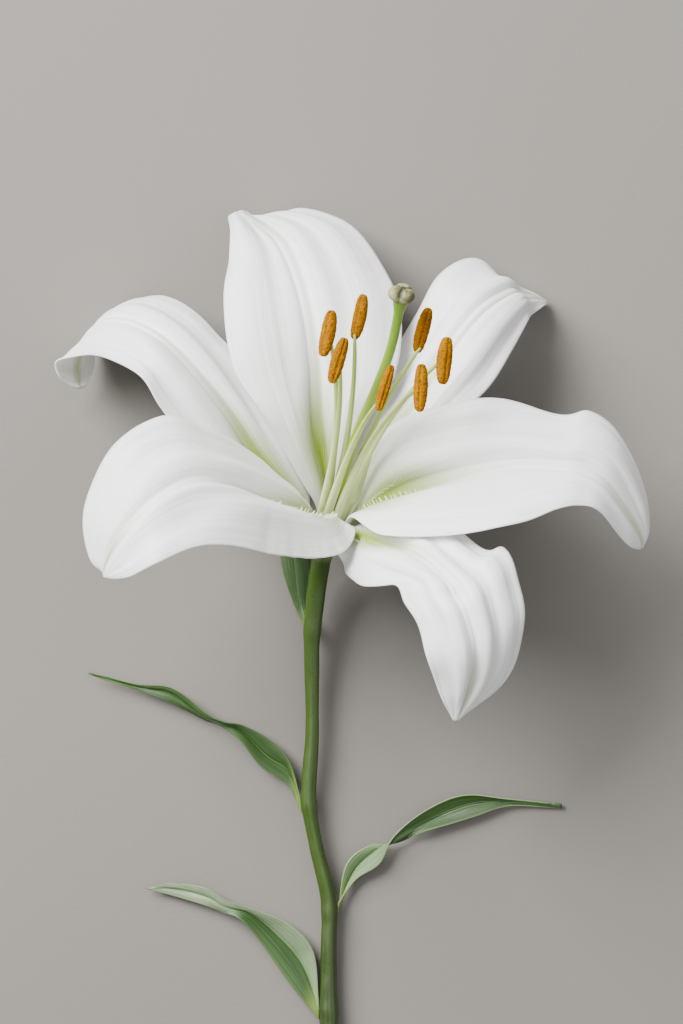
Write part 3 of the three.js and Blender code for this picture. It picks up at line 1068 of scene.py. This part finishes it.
@dataclass(frozen=True)
class StalkFinish:
    """Smooth waxy stalk whose colour changes from its foot to its top."""

    foot: Colour
    top: Colour
    streak: Colour
    lines: float = 14.0
    rough: float = 0.42
    depth: float = 0.00008
    turn: float = 0.5
    head: Colour = tint(0.22, 0.28, 0.07)
    head_end: float = 0.0

    def material(self, name: str, groups: Groups) -> bpy.types.Material:
        """Build the material.

        Args:
            name: The material's name.
            groups: The shared node groups.

        Returns:
            The material.
        """
        work = Dresser(name, groups, Subsurface_Weight=0.15, Subsurface_Scale=0.002)
        graph = work.graph
        lines, patches = work.fibres(self.lines, 5.0), work.mottle(220.0, 4000.0)
        colour = graph.mix(graph.span(work.along, self.turn - 0.4, self.turn + 0.4), self.foot, self.top)
        streaks = graph.math("MULTIPLY", graph.span(lines.outputs["Coarse"], 0.4, 0.75), 0.55)
        colour = graph.mix(streaks, colour, self.streak)
        spots = graph.math("MULTIPLY", graph.span(patches.outputs["Patches"], 0.5, 0.8), 0.25)
        colour = graph.mix(spots, colour, self.streak)
        if self.head_end:
            pale = graph.span(work.along, self.head_end, 0.4 * self.head_end, 0.0, 0.85)
            colour = graph.mix(pale, colour, self.head)
        rough = graph.span(patches.outputs["Patches"], 0.3, 0.7, self.rough - 0.06, self.rough + 0.1)
        grain = graph.math("MULTIPLY", patches.outputs["Grain"], 0.4)
        relief = graph.math("ADD", lines.outputs["Fine"], grain)
        return work.dress(colour, rough, relief, self.depth)


@dataclass(frozen=True)
class PollenFinish:
    """Grainy orange pollen in lighter and darker patches, with painted shade between the grains and along the
    furrow.
    """

    bright: Colour = tint(0.38, 0.16, 0.0)
    # painted shade colour, laid between the grains and along the furrow
    deep: Colour = tint(0.05, 0.011, 0.0)
    ripe: Colour = tint(0.3, 0.116, 0.0)

    def material(self, name: str, groups: Groups) -> bpy.types.Material:
        """Build the material.

        Args:
            name: The material's name.
            groups: The shared node groups.

        Returns:
            The material.
        """
        work = Dresser(name, groups, Specular_IOR_Level=0.05)
        graph = work.graph
        patches = work.mottle(300.0, 2900.0)
        colour = graph.mix(graph.span(patches.outputs["Patches"], 0.35, 0.65), self.ripe, self.bright)
        # painted shade: darker between the grains
        painted_crevice_shade = graph.math("MULTIPLY", graph.span(patches.outputs["Grain"], 0.4, 0.85), 0.62)
        colour = graph.mix(painted_crevice_shade, colour, self.deep)
        # painted shade along the furrow, read from the anther's map
        colour = graph.mix(graph.span(work.over, 0.3, 1.1), colour, self.deep)
        relief = graph.math("SUBTRACT", 1.0, patches.outputs["Grain"])
        return work.dress(colour, graph.span(patches.outputs["Patches"], 0.3, 0.7, 0.85, 1.0), relief, 0.0003)


@dataclass(frozen=True)
class StigmaFinish:
    """Cream knob with darker patches, painted shade in its clefts and central hollow, and finely grained."""

    knob: Colour = tint(0.28, 0.27, 0.14)
    patch: Colour = tint(0.09, 0.085, 0.03)
    # painted shade colour for the clefts and the central hollow
    cleft: Colour = tint(0.03, 0.045, 0.015)

    def material(self, name: str, groups: Groups) -> bpy.types.Material:
        """Build the material.

        Args:
            name: The material's name.
            groups: The shared node groups.

        Returns:
            The material.
        """
        work = Dresser(name, groups, Subsurface_Weight=0.1, Subsurface_Scale=0.001)
        graph = work.graph
        patches = work.mottle(260.0, 3200.0)
        colour = graph.mix(graph.span(patches.outputs["Patches"], 0.35, 0.65), self.knob, self.patch)
        # painted shade in the clefts and the central hollow
        colour = graph.mix(graph.span(work.over, 0.2, 0.9), colour, self.cleft)
        rough = graph.span(patches.outputs["Patches"], 0.3, 0.7, 0.45, 0.65)
        return work.dress(colour, rough, patches.outputs["Grain"], 0.0001)


@dataclass(frozen=True)
class LeafFinish:
    """Satin leaf with lines along it and a paler middle rib, optionally paler beyond a share of its length
    and with a painted sheen on one half.
    """

    blade: Colour
    line: Colour
    rib: Colour
    # pale tone beyond bloom_start, also laid on one half as a painted sheen
    bloom: Colour = tint(0.19, 0.26, 0.15)
    bloom_start: float = 2.0
    painted_sheen_half: float = 0.0
    foot: Colour = tint(0.13, 0.21, 0.02)
    rough: float = 0.4

    def material(self, name: str, groups: Groups) -> bpy.types.Material:
        """Build the material.

        Args:
            name: The material's name.
            groups: The shared node groups.

        Returns:
            The material.
        """
        work = Dresser(name, groups, Subsurface_Weight=0.12, Subsurface_Scale=0.0015)
        graph = work.graph
        lines, patches = work.fibres(16.0, 2.0, 3.5), work.mottle(120.0, 3600.0)
        colour = graph.mix(graph.span(lines.outputs["Coarse"], 0.35, 0.7), self.blade, self.line)
        soft = graph.math("MULTIPLY", graph.span(patches.outputs["Patches"], 0.4, 0.75), 0.3)
        colour = graph.mix(soft, colour, self.line)
        colour = graph.mix(graph.span(work.out, 0.12, 0.02, 0.0, 0.7), colour, self.rib)
        colour = graph.mix(graph.span(work.out, 0.86, 1.0, 0.0, 0.75), colour, self.rib)
        colour = graph.mix(graph.span(work.along, 0.16, 0.02, 0.0, 0.75), colour, self.foot)
        # Paler beyond bloom_start; the half mask lays a painted sheen.
        far = graph.span(work.along, self.bloom_start - 0.08, self.bloom_start + 0.1)
        half = graph.math("MULTIPLY", graph.span(work.over, 0.6, 0.4), self.painted_sheen_half)
        uneven = graph.span(patches.outputs["Patches"], 0.2, 0.6, 0.6, 0.95)
        pale_and_painted_sheen = graph.math("MULTIPLY", graph.math("MAXIMUM", far, half), uneven)
        colour = graph.mix(pale_and_painted_sheen, colour, self.bloom)
        rough = graph.span(patches.outputs["Patches"], 0.3, 0.7, self.rough - 0.05, self.rough + 0.12)
        fine = graph.math("MULTIPLY", lines.outputs["Fine"], 0.6)
        relief = graph.math("ADD", lines.outputs["Coarse"], fine)
        return work.dress(colour, rough, relief, 0.00015)


@dataclass
class Tepal:
    """One tepal: a thin curved sheet with a double midrib, soft pleats and a ruffled margin."""

    plan: TepalPlan
    sizes: Sizes = SIZES
    steps: int = 150
    across: int = 60
    wall: float = 0.9
    groove: float = 0.8
    pleat: float = 0.9
    ripple: float = 0.22

    def blade(self) -> Blade:
        """The smooth surface of the tepal, foot and throat included.

        Returns:
            The surface.
        """
        plan, ring = self.plan, self.sizes.tepal_ring
        outer = plan.whorl is Whorl.OUTER
        width = self.sizes.outer_width if outer else self.sizes.inner_width
        middle = around(plan.turn) * ring + AXIS * self.sizes.gap
        half = around(plan.turn + 90) * (0.42 * ring)
        wall = ring + (3.4 if outer else 1.5)
        throat = [around(plan.turn + turn) * wall + AXIS * 8 for turn in (26, 0, -26)]
        foot = [middle + half, middle, middle - half]
        length = plan.length * self.sizes.tepal_length
        grown = sized(plan.ribs, length, plan.width * width, Vector((0, 0, 0)))
        return Blade([foot, throat, *grown], 0.25)

    def relief(self, share: float, side: float, reach: float) -> float:
        """The height of the petal's folds over its smooth surface.

        Args:
            share: From 0 at the foot to 1 at the tip.
            side: From -1 at the right margin to 1 at the left margin.
            reach: The distance from the middle line in millimetres.

        Returns:
            The height in millimetres.
        """
        seed, out = self.plan.turn * 0.37, abs(side)
        open_share = smooth(0.12, 0.32, share) * (1 - smooth(0.9, 1.0, share))
        line = -self.groove * bump(1.5, 0.75, reach) * smooth(0.1, 0.25, share)
        line *= 1 - 0.7 * smooth(0.75, 0.97, share)
        channel = -1.1 * bump(0.0, 4.5, reach) * (1 - smooth(0.25, 0.6, share))
        folds = noise.noise(Vector((side * 3.4, share * 1.7, seed))) * self.pleat
        fine = noise.noise(Vector((side * 15, share * 2.2, seed + 4))) * self.ripple
        wave = noise.noise(Vector((share * 8.5, math.copysign(3, side), seed + 9)))
        margin = self.plan.ruffle * smooth(0.5, 1.0, out) * wave
        crinkle = noise.noise(Vector((share * 48, side * 1.2, seed + 2))) * smooth(0.3, 0.6, side)
        crinkle *= self.plan.crease * (1 - smooth(0.4, 0.6, share))
        drawn = crinkle + sum(fold.lift(share, side) for fold in self.plan.folds)
        return open_share * (folds + fine + margin + channel + line) + drawn * smooth(0.08, 0.2, share)

    def build(self, place: Placement, finish: bpy.types.Material) -> bpy.types.Object:
        """Make the tepal.

        Args:
            place: Where the flower lies.
            finish: The petal's material.

        Returns:
            The tepal.
        """
        piece = Piece(self.plan.name, "tepal", (self.plan.name,))
        self.blade().spread(piece.made, self.steps, self.across, self.relief)
        made = piece.finish(place, [finish])
        return walled(made, self.wall)


def walled(piece: bpy.types.Object, wall: float) -> bpy.types.Object:
    """Give a sheet its thickness, thin at the margins.

    Args:
        piece: The sheet.
        wall: The thickness at the middle in millimetres.

    Returns:
        The sheet.
    """
    piece.vertex_groups.new(name="body")
    solid = piece.modifiers.new("wall", "SOLIDIFY")
    solid.thickness = wall * MM
    solid.offset = 0.0
    solid.vertex_group = "body"
    solid.material_offset = len(piece.data.materials) - 1
    return piece


@dataclass
class Fringe:
    """The small pointed growths that stand on both sides of a tepal's channel."""

    tepal: Tepal
    name: str
    rows: tuple[Colour, ...]
    close: float = 120.0
    tall: float = 1.9
    thick: float = 0.27
    point: float = 0.12
    sunk: float = 0.8

    def build(self, place: Placement, finish: bpy.types.Material) -> bpy.types.Object:
        """Make the growths as one piece.

        Args:
            place: Where the flower lies.
            finish: Their material.

        Returns:
            The piece.
        """
        piece = Piece(self.name, "tepal")
        blade = self.tepal.blade()
        for k, (start, first, end, last) in enumerate(self.rows):
            count = int(self.close * abs(end - start))
            for i in range(count):
                part = (i + 0.5) / count
                shift = noise.noise(Vector((i * 1.7, k * 3.1, 0.5)))
                sway = noise.noise(Vector((i * 2.3, k, 4.0)))
                where = first + (last - first) * part + 0.06 * shift
                spot = blade.rails[1].place(start + (end - start) * part)
                up = blade.normal(spot, where)
                reach = (blade.flat(spot, where) - blade.flat(spot, 0.0)).length
                share = start + (end - start) * part
                foot = blade.flat(spot, where) + up * self.tepal.relief(share, where, reach)
                way = (up + Vector((shift * 0.5, 0.3 * sway, 0.0))).normalized()
                tall = self.tall * (0.65 + 0.7 * abs(shift)) * math.sin(math.pi * (0.15 + 0.7 * part))
                self.grow(piece.made, foot, way, tall)
        return piece.finish(place, [finish])

    def grow(self, made: bmesh.types.BMesh, foot: Vector, way: Vector, tall: float) -> None:
        """Add one pointed growth.

        Args:
            made: The mesh to add it to.
            foot: Where it stands.
            way: The direction it points in.
            tall: How tall it is in millimetres.
        """
        layer = made.loops.layers.uv.verify()
        turn = way.to_track_quat("Z", "Y").to_matrix().to_4x4()
        cone = bmesh.ops.create_cone(
            made,
            cap_ends=True,
            segments=6,
            radius1=self.thick,
            radius2=self.thick * self.point,
            depth=tall + self.sunk,
            matrix=Matrix.Translation(foot + way * (tall / 2)) @ turn,
        )
        for made_face in {f for vert in cone["verts"] for f in vert.link_faces}:
            for loop in made_face.loops:
                loop[layer].uv = (min((loop.vert.co - foot).length / self.tall, 1.0), 0.5)


@dataclass
class Stamen:
    """A slender filament that carries a swinging anther of two pollen sacs."""

    number: int
    plan: StamenPlan
    sizes: Sizes = SIZES
    around_anther: int = 64
    along_anther: int = 80
    grain: float = 0.18

    @property
    def centre(self) -> Vector:
        """The middle of the anther."""
        furthest = max(Vector(plan.top).length for plan in STAMENS)
        return Vector(self.plan.top) * (self.sizes.stamen_length / furthest)

    def filament_path(self) -> Spline:
        """The middle line of the filament, ending inside the anther's back or front.

        Returns:
            The line.
        """
        sizes, way = self.sizes, Vector(self.plan.lean).normalized()
        start = around(self.plan.turn) * sizes.stamen_ring + AXIS * sizes.gap
        back = start - self.centre
        back = (back - way * back.dot(way)).normalized()
        joint = self.centre + way * (self.plan.hold * sizes.anther_length)
        joint += back * (self.plan.side.value * (sizes.anther_width / 2 - 0.3))
        bend = start + STAMEN_WAY * (0.55 * sizes.stamen_length)
        points = []
        for i in range(25):
            t = i / 24
            points.append(start * (1 - t) ** 2 + bend * (2 * t * (1 - t)) + joint * t * t)
        return Spline(points, centripetal=True)

    def build_filament(self, place: Placement, finish: bpy.types.Material) -> bpy.types.Object:
        """Make the filament.

        Args:
            place: Where the flower lies.
            finish: Its material.

        Returns:
            The filament.
        """
        name = f"filament_{self.number}"
        piece = Piece(name, "filament", (name,))
        thick = self.sizes.filament_radius

        def radius(share: float, angle: float) -> float:
            """Thick and slightly flat at the foot, thin at the top.

            Args:
                share: From 0 at the foot to 1 at the anther.
                angle: The angle round the filament.

            Returns:
                The radius in millimetres.
            """
            broad = 1 + 0.3 * bump(0.22, 0.2, share) * math.cos(angle) ** 2
            return thick * (1.2 - 0.65 * share - 0.2 * smooth(0.95, 1.0, share)) * broad

        tube(piece.made, self.filament_path().along, 70, 20, radius)
        return piece.finish(place, [finish])

    def build_anther(self, place: Placement, finish: bpy.types.Material) -> bpy.types.Object:
        """Make the anther.

        Args:
            place: Where the flower lies.
            finish: The pollen's material.

        Returns:
            The anther.
        """
        name, sizes = f"anther_{self.number}", self.sizes
        piece = Piece(name, "anther", (name,))
        ball = bmesh.ops.create_uvsphere(
            piece.made, u_segments=self.around_anther, v_segments=self.along_anther, radius=1.0
        )
        way = Vector(self.plan.lean).normalized()
        broad = way.cross(Vector((0, 0, 1))).normalized()
        front = broad.cross(way) * -1
        turn = Matrix.Rotation(math.radians(self.plan.roll), 3, way)
        broad, front = turn @ broad, turn @ front
        grooves: dict[bmesh.types.BMVert, float] = {}
        for vert in ball["verts"]:
            x, y, z = vert.co
            angle = math.atan2(y, x)
            ring = min(math.hypot(x, y), 1.0)
            parted = smooth(0.3, -0.8, z) if self.plan.side is Side.FRONT else 0.0
            furrow = (0.5 + 0.62 * parted) * bump(90, 13 + 20 * parted, math.degrees(angle))
            furrow += 0.3 * bump(-90, 14, math.degrees(angle))
            furrow *= smooth(0.1, 0.45, ring)
            grooves[vert] = furrow
            girth = ring**0.6 * (0.84 + 0.06 * math.cos(2 * angle)) * self.plan.girth - furrow * 0.5
            bent = 0.5 * (1 - z * z)
            point = broad * (girth * math.cos(angle)) + front * (girth * math.sin(angle))
            point = point * (sizes.anther_width / 2) + way * (z * sizes.anther_length / 2)
            point += front * (bent - 0.2)
            seed = Vector((self.number * 7.0, 0, 0))
            lump = noise.noise(point * 2.3 + seed) + 0.6 * noise.noise(point * 4.6 + seed)
            out = Vector((point - way * point.dot(way)))
            out = out.normalized() if out.length > 0.2 else way * math.copysign(1, z)
            vert.co = self.centre + point + out * (self.grain * lump - 0.08)
        # The furrow's depth goes into the map, where the pollen material lays painted shade along it.
        layer = piece.made.loops.layers.uv.verify()
        for made_face in piece.made.faces:
            for loop in made_face.loops:
                loop[layer].uv = (0.5, grooves[loop.vert])
        bmesh.ops.recalc_face_normals(piece.made, faces=piece.made.faces)
        return piece.finish(place, [finish])


@dataclass
class Pistil:
    """The style on its ovary, with a three-lobed stigma on top."""

    sizes: Sizes = SIZES

    def build(
        self, place: Placement, style: bpy.types.Material, stigma: bpy.types.Material
    ) -> bpy.types.Object:
        """Make the pistil.

        Args:
            place: Where the flower lies.
            style: The material of ovary and style.
            stigma: The material of the stigma.

        Returns:
            The pistil.
        """
        piece = Piece("pistil", "pistil", ("pistil",))
        points = stretched(PISTIL, self.sizes.pistil_length)
        path = Spline([AXIS * self.sizes.gap, *points], centripetal=True)

        def radius(share: float, angle: float) -> float:
            """Furrowed ovary, slender style, swelling below the stigma.

            Args:
                share: From 0 at the receptacle to 1 at the top of the stigma.
                angle: The angle round the style.

            Returns:
                The radius in millimetres.
            """
            ovary = 1 - smooth(0.2, 0.28, share)
            plain = self.sizes.pistil_radius * (0.85 + 0.15 * ovary)
            plain *= 1 + 0.06 * ovary * math.cos(6 * angle) + 0.03 * math.cos(3 * angle)
            neck = smooth(0.9, 0.955, share)
            return plain * (1 - neck) + self.sizes.stigma_radius * 0.62 * neck

        tube(piece.made, lambda share: path.along(0.955 * share), 150, 36, lambda s, a: radius(0.955 * s, a))
        below = len(piece.made.faces)
        clefts: dict[bmesh.types.BMVert, float] = {}
        way = (path.along(1.0) - path.along(0.94)).normalized()
        broad = Vector((0.3, -0.2, 0.93)).cross(way).normalized()
        front = way.cross(broad)
        middle = path.along(0.972)
        head = bmesh.ops.create_uvsphere(piece.made, u_segments=96, v_segments=56, radius=1.0)
        for vert in head["verts"]:
            x, y, z = vert.co
            angle = math.atan2(y, x)
            ring = min(math.hypot(x, y), 1.0)
            lobe = 0.8 + 0.2 * abs(math.cos(1.5 * angle)) ** 0.6
            cleft = abs(math.sin(1.5 * angle)) ** 10
            hollow = bump(0.0, 0.2, ring) * smooth(0, 0.5, z)
            clefts[vert] = cleft * smooth(-0.3, 0.3, z) * smooth(0.0, 0.3, ring) + hollow
            reach = ring**0.75 * lobe * 1.1 * self.sizes.stigma_radius * (1 - 0.12 * cleft)
            rise = z * 0.64 * self.sizes.stigma_radius
            rise -= 0.5 * cleft * smooth(0.1, 0.5, z) * smooth(0.0, 0.3, ring)
            rise -= 0.5 * bump(0.0, 0.3, ring) * smooth(0.0, 0.5, z)
            point = broad * (reach * math.cos(angle)) + front * (reach * math.sin(angle)) + way * rise
            lump = noise.noise(point * 2.2)
            vert.co = middle + point * (1 + 0.035 * lump)
        # The clefts and the central hollow go into the map, where the stigma material lays painted shade in
        # them.
        layer = piece.made.loops.layers.uv.verify()
        piece.made.faces.ensure_lookup_table()
        for made_face in piece.made.faces[below:]:
            made_face.material_index = 1
            for loop in made_face.loops:
                loop[layer].uv = (0.5, clefts[loop.vert])
        return piece.finish(place, [style, stigma])


@dataclass
class Stem:
    """The stem with its nodes and the flat head that the flower stands on."""

    sizes: Sizes = SIZES
    steps: int = 420
    sides: int = 40
    head_rings: float = 0.3
    quicken: float = 0.65

    def path(self) -> Spline:
        """The middle line of the stem."""
        points = stretched([point for point, _ in STEM], self.sizes.stem_length)
        return Spline([AXIS * -self.sizes.gap, AXIS * -(self.sizes.gap + 2), *points], centripetal=True)

    def radius(self, share: float) -> float:
        """How thick the stem is.

        Args:
            share: From 0 at the flower to 1 at the cut end.

        Returns:
            The radius in millimetres.
        """
        place = min(max(share, 0.0), 0.9999) * (len(STEM) - 1)
        i = int(place)
        t = place - i
        t = t * t * (3 - 2 * t)
        plain = self.sizes.stem_radius * (STEM[i][1] * (1 - t) + STEM[i + 1][1] * t)
        down = share * self.sizes.stem_length
        flare = max(0.0, 1 - down / (1.35 * self.sizes.receptacle_radius))
        lip = 1 - 0.1 * (1 - smooth(0.0, 0.9, down))
        return (plain + max(0.0, self.sizes.receptacle_radius - plain) * flare**2) * lip

    def build(self, place: Placement, skin: bpy.types.Material, pith: bpy.types.Material) -> bpy.types.Object:
        """Make the stem.

        Args:
            place: Where the flower lies.
            skin: The material of its skin.
            pith: The material of the cut.

        Returns:
            The stem.
        """
        piece = Piece("stem", "stem", ("stem",))
        path = self.path()
        nodes = [leaf.down for leaf in LEAVES]

        def radius(share: float, angle: float) -> float:
            """Faintly angled, swollen a little where leaves join.

            Args:
                share: From 0 at the flower to 1 at the cut end.
                angle: The angle round the stem.

            Returns:
                The radius in millimetres.
            """
            edge = 1 + 0.035 * math.cos(5 * angle + 9 * share) * smooth(0.03, 0.1, share)
            rough = 1 + 0.02 * noise.noise(Vector((math.cos(angle), math.sin(angle), share * 40)))
            node = sum(0.1 * bump(spot, 0.012, share) for spot in nodes)
            return self.radius(share) * edge * rough + node * self.sizes.stem_radius

        tube(piece.made, path.along, self.steps, self.sides, radius, self.ring_share)
        end = path.along(1.0)
        caps = [made_face for made_face in piece.made.faces if len(made_face.verts) > 4]
        cut = [cap for cap in caps if (cap.calc_center_median() - end).length < 3]
        for cap in cut:
            cap.material_index = 1
        if cut:
            bmesh.ops.inset_region(piece.made, faces=cut, thickness=0.45, depth=-0.05)
        return piece.finish(place, [skin, pith])

    def ring_share(self, even: float) -> float:
        """Where a ring of the stem lies, with the rings closer together at the head.

        Args:
            even: The ring's place if all were evenly spaced, from 0 to 1.

        Returns:
            Its share of the length.
        """
        slow = 1 - self.quicken
        if even < self.head_rings:
            return even * (slow + self.quicken * even)
        start = self.head_rings * (slow + self.quicken * self.head_rings)
        return start + (even - self.head_rings) / (1 - self.head_rings) * (1 - start)


@dataclass
class Leaf:
    """A narrow leaf, channelled along its middle rib and turned over at its twist."""

    plan: LeafPlan
    sizes: Sizes = SIZES
    steps: int = 130
    across: int = 28
    wall: float = 0.75

    def blade(self, stem: Stem) -> Blade:
        """The smooth surface of the leaf.

        Args:
            stem: The stem it grows on.

        Returns:
            The surface.
        """
        plan, path = self.plan, stem.path()
        joint = path.along(plan.down)
        way = (path.along(plan.down + 0.004) - path.along(plan.down - 0.004)).normalized()
        out = Vector(plan.side) - way * Vector(plan.side).dot(way)
        out.normalize()
        middle = joint + out * (stem.radius(plan.down) + 0.1)
        width = plan.width * self.sizes.leaf_width
        half = way * (0.2 * width)
        ribs = [[middle + half, middle, middle - half]]
        ribs += sized(plan.ribs, plan.length * self.sizes.leaf_length, width, joint)
        for rib in ribs[plan.twist:]:
            rib[0], rib[2] = rib[2], rib[0]
        return Blade(ribs, 0.2)

    def relief(self, share: float, side: float, reach: float) -> float:
        """The height of the leaf's ribs over its smooth surface.

        Args:
            share: From 0 at the foot to 1 at the tip.
            side: From -1 at the right margin to 1 at the left margin.
            reach: The distance from the middle line in millimetres.

        Returns:
            The height in millimetres.
        """
        seed = self.plan.down * 9
        middle = smooth(0.02, 0.12, share) * (1 - smooth(0.9, 1.0, share))
        rib = -0.28 * self.plan.keel * bump(0.0, 0.6, reach)
        veins = 0.05 * math.cos(side * 9 * math.pi)
        wave = 0.5 * noise.noise(Vector((share * 5, side * 0.8, seed))) * abs(side)
        return middle * (rib + veins + wave)

    def build(self, stem: Stem, place: Placement, finishes: Sequence[bpy.types.Material]) -> bpy.types.Object:
        """Make the leaf.

        Args:
            stem: The stem it grows on.
            place: Where the flower lies.
            finishes: The materials of its two faces.

        Returns:
            The leaf.
        """
        piece = Piece(self.plan.name, "leaf", (self.plan.name,))
        self.blade(stem).spread(piece.made, self.steps, self.across, self.relief)
        made = piece.finish(place, finishes)
        return walled(made, self.wall)


@dataclass
class Studio:
    """The pale floor, the soft lights and the camera."""

    eye: Triple = (4.95, 8.4, 900.0)
    lens: float = 105.47
    floor_size: float = 6.0

    def build_floor(self, groups: Groups) -> None:
        """Lay the floor.

        Args:
            groups: The shared node groups.
        """
        mesh = bpy.data.meshes.new("floor")
        made = bmesh.new()
        bmesh.ops.create_grid(made, x_segments=4, y_segments=4, size=self.floor_size / 2)
        bmesh.ops.translate(made, vec=(0, 0, -0.0002), verts=made.verts)
        made.to_mesh(mesh)
        made.free()
        mesh.materials.append(FloorFinish().material("floor", groups))
        floor = bpy.data.objects.new("floor", mesh)
        bpy.context.scene.collection.objects.link(floor)

    def build_camera(self, place: Placement) -> None:
        """Put the camera over the lying flower.

        Args:
            place: Where the flower lies.
        """
        lens = bpy.data.cameras.new("camera")
        lens.lens = self.lens
        lens.sensor_width = 36.0
        lens.clip_end = 50.0
        camera = bpy.data.objects.new("camera", lens)
        camera.matrix_world = Matrix.Translation(place(Vector(self.eye))) @ place.turn.to_4x4()
        bpy.context.scene.collection.objects.link(camera)
        bpy.context.scene.camera = camera

    def build_light(
        self, name: str, way: Triple, distance: float, size: float, power: float, tone: Triple
    ) -> None:
        """Hang one soft light.

        Args:
            name: Its name.
            way: The direction from the flower to it.
            distance: How far away it is in metres.
            size: The side of its square face in metres.
            power: Its power in watts.
            tone: Its colour.
        """
        light = bpy.data.lights.new(name, "AREA")
        light.shape, light.size, light.energy, light.color = "SQUARE", size, power, tone
        lamp = bpy.data.objects.new(name, light)
        direction = Vector(way).normalized()
        lamp.location = direction * distance
        lamp.rotation_euler = direction.to_track_quat("Z", "Y").to_euler()
        bpy.context.scene.collection.objects.link(lamp)

    def build(self, place: Placement, groups: Groups) -> None:
        """Set up floor, lights, surroundings and camera.

        Args:
            place: Where the flower lies.
            groups: The shared node groups.
        """
        self.build_floor(groups)
        self.build_light("key_light", (-0.75, 0.75, 0.9), 1.6, 1.0, 98.0, (1.0, 0.985, 0.965))
        self.build_light("fill_light", (0.9, -0.1, 0.9), 1.8, 1.8, 9.0, (0.96, 0.98, 1.0))
        self.build_light("top_light", (0.0, 0.1, 1.0), 2.2, 1.8, 15.0, (1.0, 1.0, 1.0))
        world = bpy.data.worlds.new("room")
        world.use_nodes = True
        back = world.node_tree.nodes["Background"]
        back.inputs["Color"].default_value = tint(0.82, 0.81, 0.79)
        back.inputs["Strength"].default_value = 0.4
        bpy.context.scene.world = world
        self.build_camera(place)


@dataclass(frozen=True)
class FloorFinish:
    """Plain pale warm grey paper."""

    paper: Colour = tint(0.185, 0.175, 0.161)
    deep: Colour = tint(0.17, 0.161, 0.148)

    def material(self, name: str, groups: Groups) -> bpy.types.Material:
        """Build the material.

        Args:
            name: The material's name.
            groups: The shared node groups.

        Returns:
            The material.
        """
        work = Dresser(name, groups, Specular_IOR_Level=0.2)
        patches = work.mottle(1.5, 900.0)
        colour = work.graph.mix(work.graph.span(patches.outputs["Patches"], 0.3, 0.7), self.paper, self.deep)
        return work.dress(colour, 0.9, patches.outputs["Grain"], 0.00003)


@dataclass
class Lily:
    """The whole cut flower."""

    place: Placement
    groups: Groups

    def build_tepals(self) -> None:
        """Make the six tepals and the growths at their channels."""
        petal = PetalFinish().material("petal", self.groups)
        tepals = {plan.name: Tepal(plan) for plan in TEPALS}
        for tepal in tepals.values():
            tepal.build(self.place, petal)
        point = StalkFinish(tint(0.6, 0.68, 0.25), tint(0.85, 0.87, 0.72), tint(0.55, 0.66, 0.2))
        fringe = point.material("fringe", self.groups)
        for name, rows in FRINGES.items():
            Fringe(tepals[f"tepal_{name}"], f"fringe_{name}", rows).build(self.place, fringe)
        LOG.info("tepals: %d", len(tepals))

    def build_middle(self) -> None:
        """Make the stamens and the pistil."""
        thread = StalkFinish(tint(0.6, 0.66, 0.36), tint(0.36, 0.47, 0.1), tint(0.4, 0.5, 0.14))
        filament = thread.material("filament", self.groups)
        pollen = PollenFinish().material("pollen", self.groups)
        for number, plan in enumerate(STAMENS, 1):
            stamen = Stamen(number, plan)
            stamen.build_filament(self.place, filament)
            stamen.build_anther(self.place, pollen)
        style = StalkFinish(
            tint(0.32, 0.42, 0.035), tint(0.1, 0.22, 0.006), tint(0.2, 0.31, 0.015), turn=0.65
        )
        stigma = StigmaFinish()
        Pistil().build(
            self.place, style.material("style", self.groups), stigma.material("stigma", self.groups)
        )

    def build_green(self) -> None:
        """Make the stem and the leaves."""
        skin = StalkFinish(
            tint(0.036, 0.082, 0.004), tint(0.013, 0.028, 0.003), tint(0.045, 0.085, 0.01),
            lines=22.0, rough=0.33, turn=0.4, head_end=0.032
        )
        pith = StalkFinish(tint(0.6, 0.66, 0.42), tint(0.6, 0.66, 0.42), tint(0.4, 0.5, 0.25), rough=0.7)
        stem = Stem()
        stem.build(self.place, skin.material("stem", self.groups), pith.material("pith", self.groups))
        upper = LeafFinish(tint(0.018, 0.05, 0.009), tint(0.034, 0.082, 0.016), tint(0.07, 0.13, 0.035))
        under = LeafFinish(tint(0.09, 0.16, 0.06), tint(0.14, 0.23, 0.095), tint(0.2, 0.3, 0.13), rough=0.55)
        # leaf_lower: paler beyond 0.6 of its length, with a painted sheen on one half
        pale_and_painted_sheen = replace(upper, bloom_start=0.6, painted_sheen_half=0.75)
        top = upper.material("leaf_upper_face", self.groups)
        back = under.material("leaf_under_face", self.groups)
        bloom = pale_and_painted_sheen.material("leaf_pale_and_sheen_face", self.groups)
        for plan in LEAVES:
            order = [back, top] if plan.inner_face is Face.UNDER else [top, back]
            # leaf_lower's first face takes the finish with the paler far part and the painted sheen
            if plan.name == "leaf_lower":
                order[0] = bloom
            Leaf(plan).build(stem, self.place, order)


def middle_of(node: str) -> Vector:
    """The middle of a node's box."""
    low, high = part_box(node)
    return (Vector(low) + Vector(high)) / 2


def main() -> None:
    """Load the fixed frame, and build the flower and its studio."""
    logging.basicConfig(level=logging.INFO, format="%(name)s %(message)s")
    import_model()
    own = [Stamen(number, STAMENS[number - 1]).centre for number in KNOWN_ANTHERS]
    place = Placement(own, [middle_of(f"anther_{number}") for number in KNOWN_ANTHERS])
    groups = Groups()
    lily = Lily(place, groups)
    lily.build_green()
    lily.build_tepals()
    lily.build_middle()
    Studio().build(place, groups)
    bpy.context.view_layer.update()


if __name__ == "__main__":
    main()
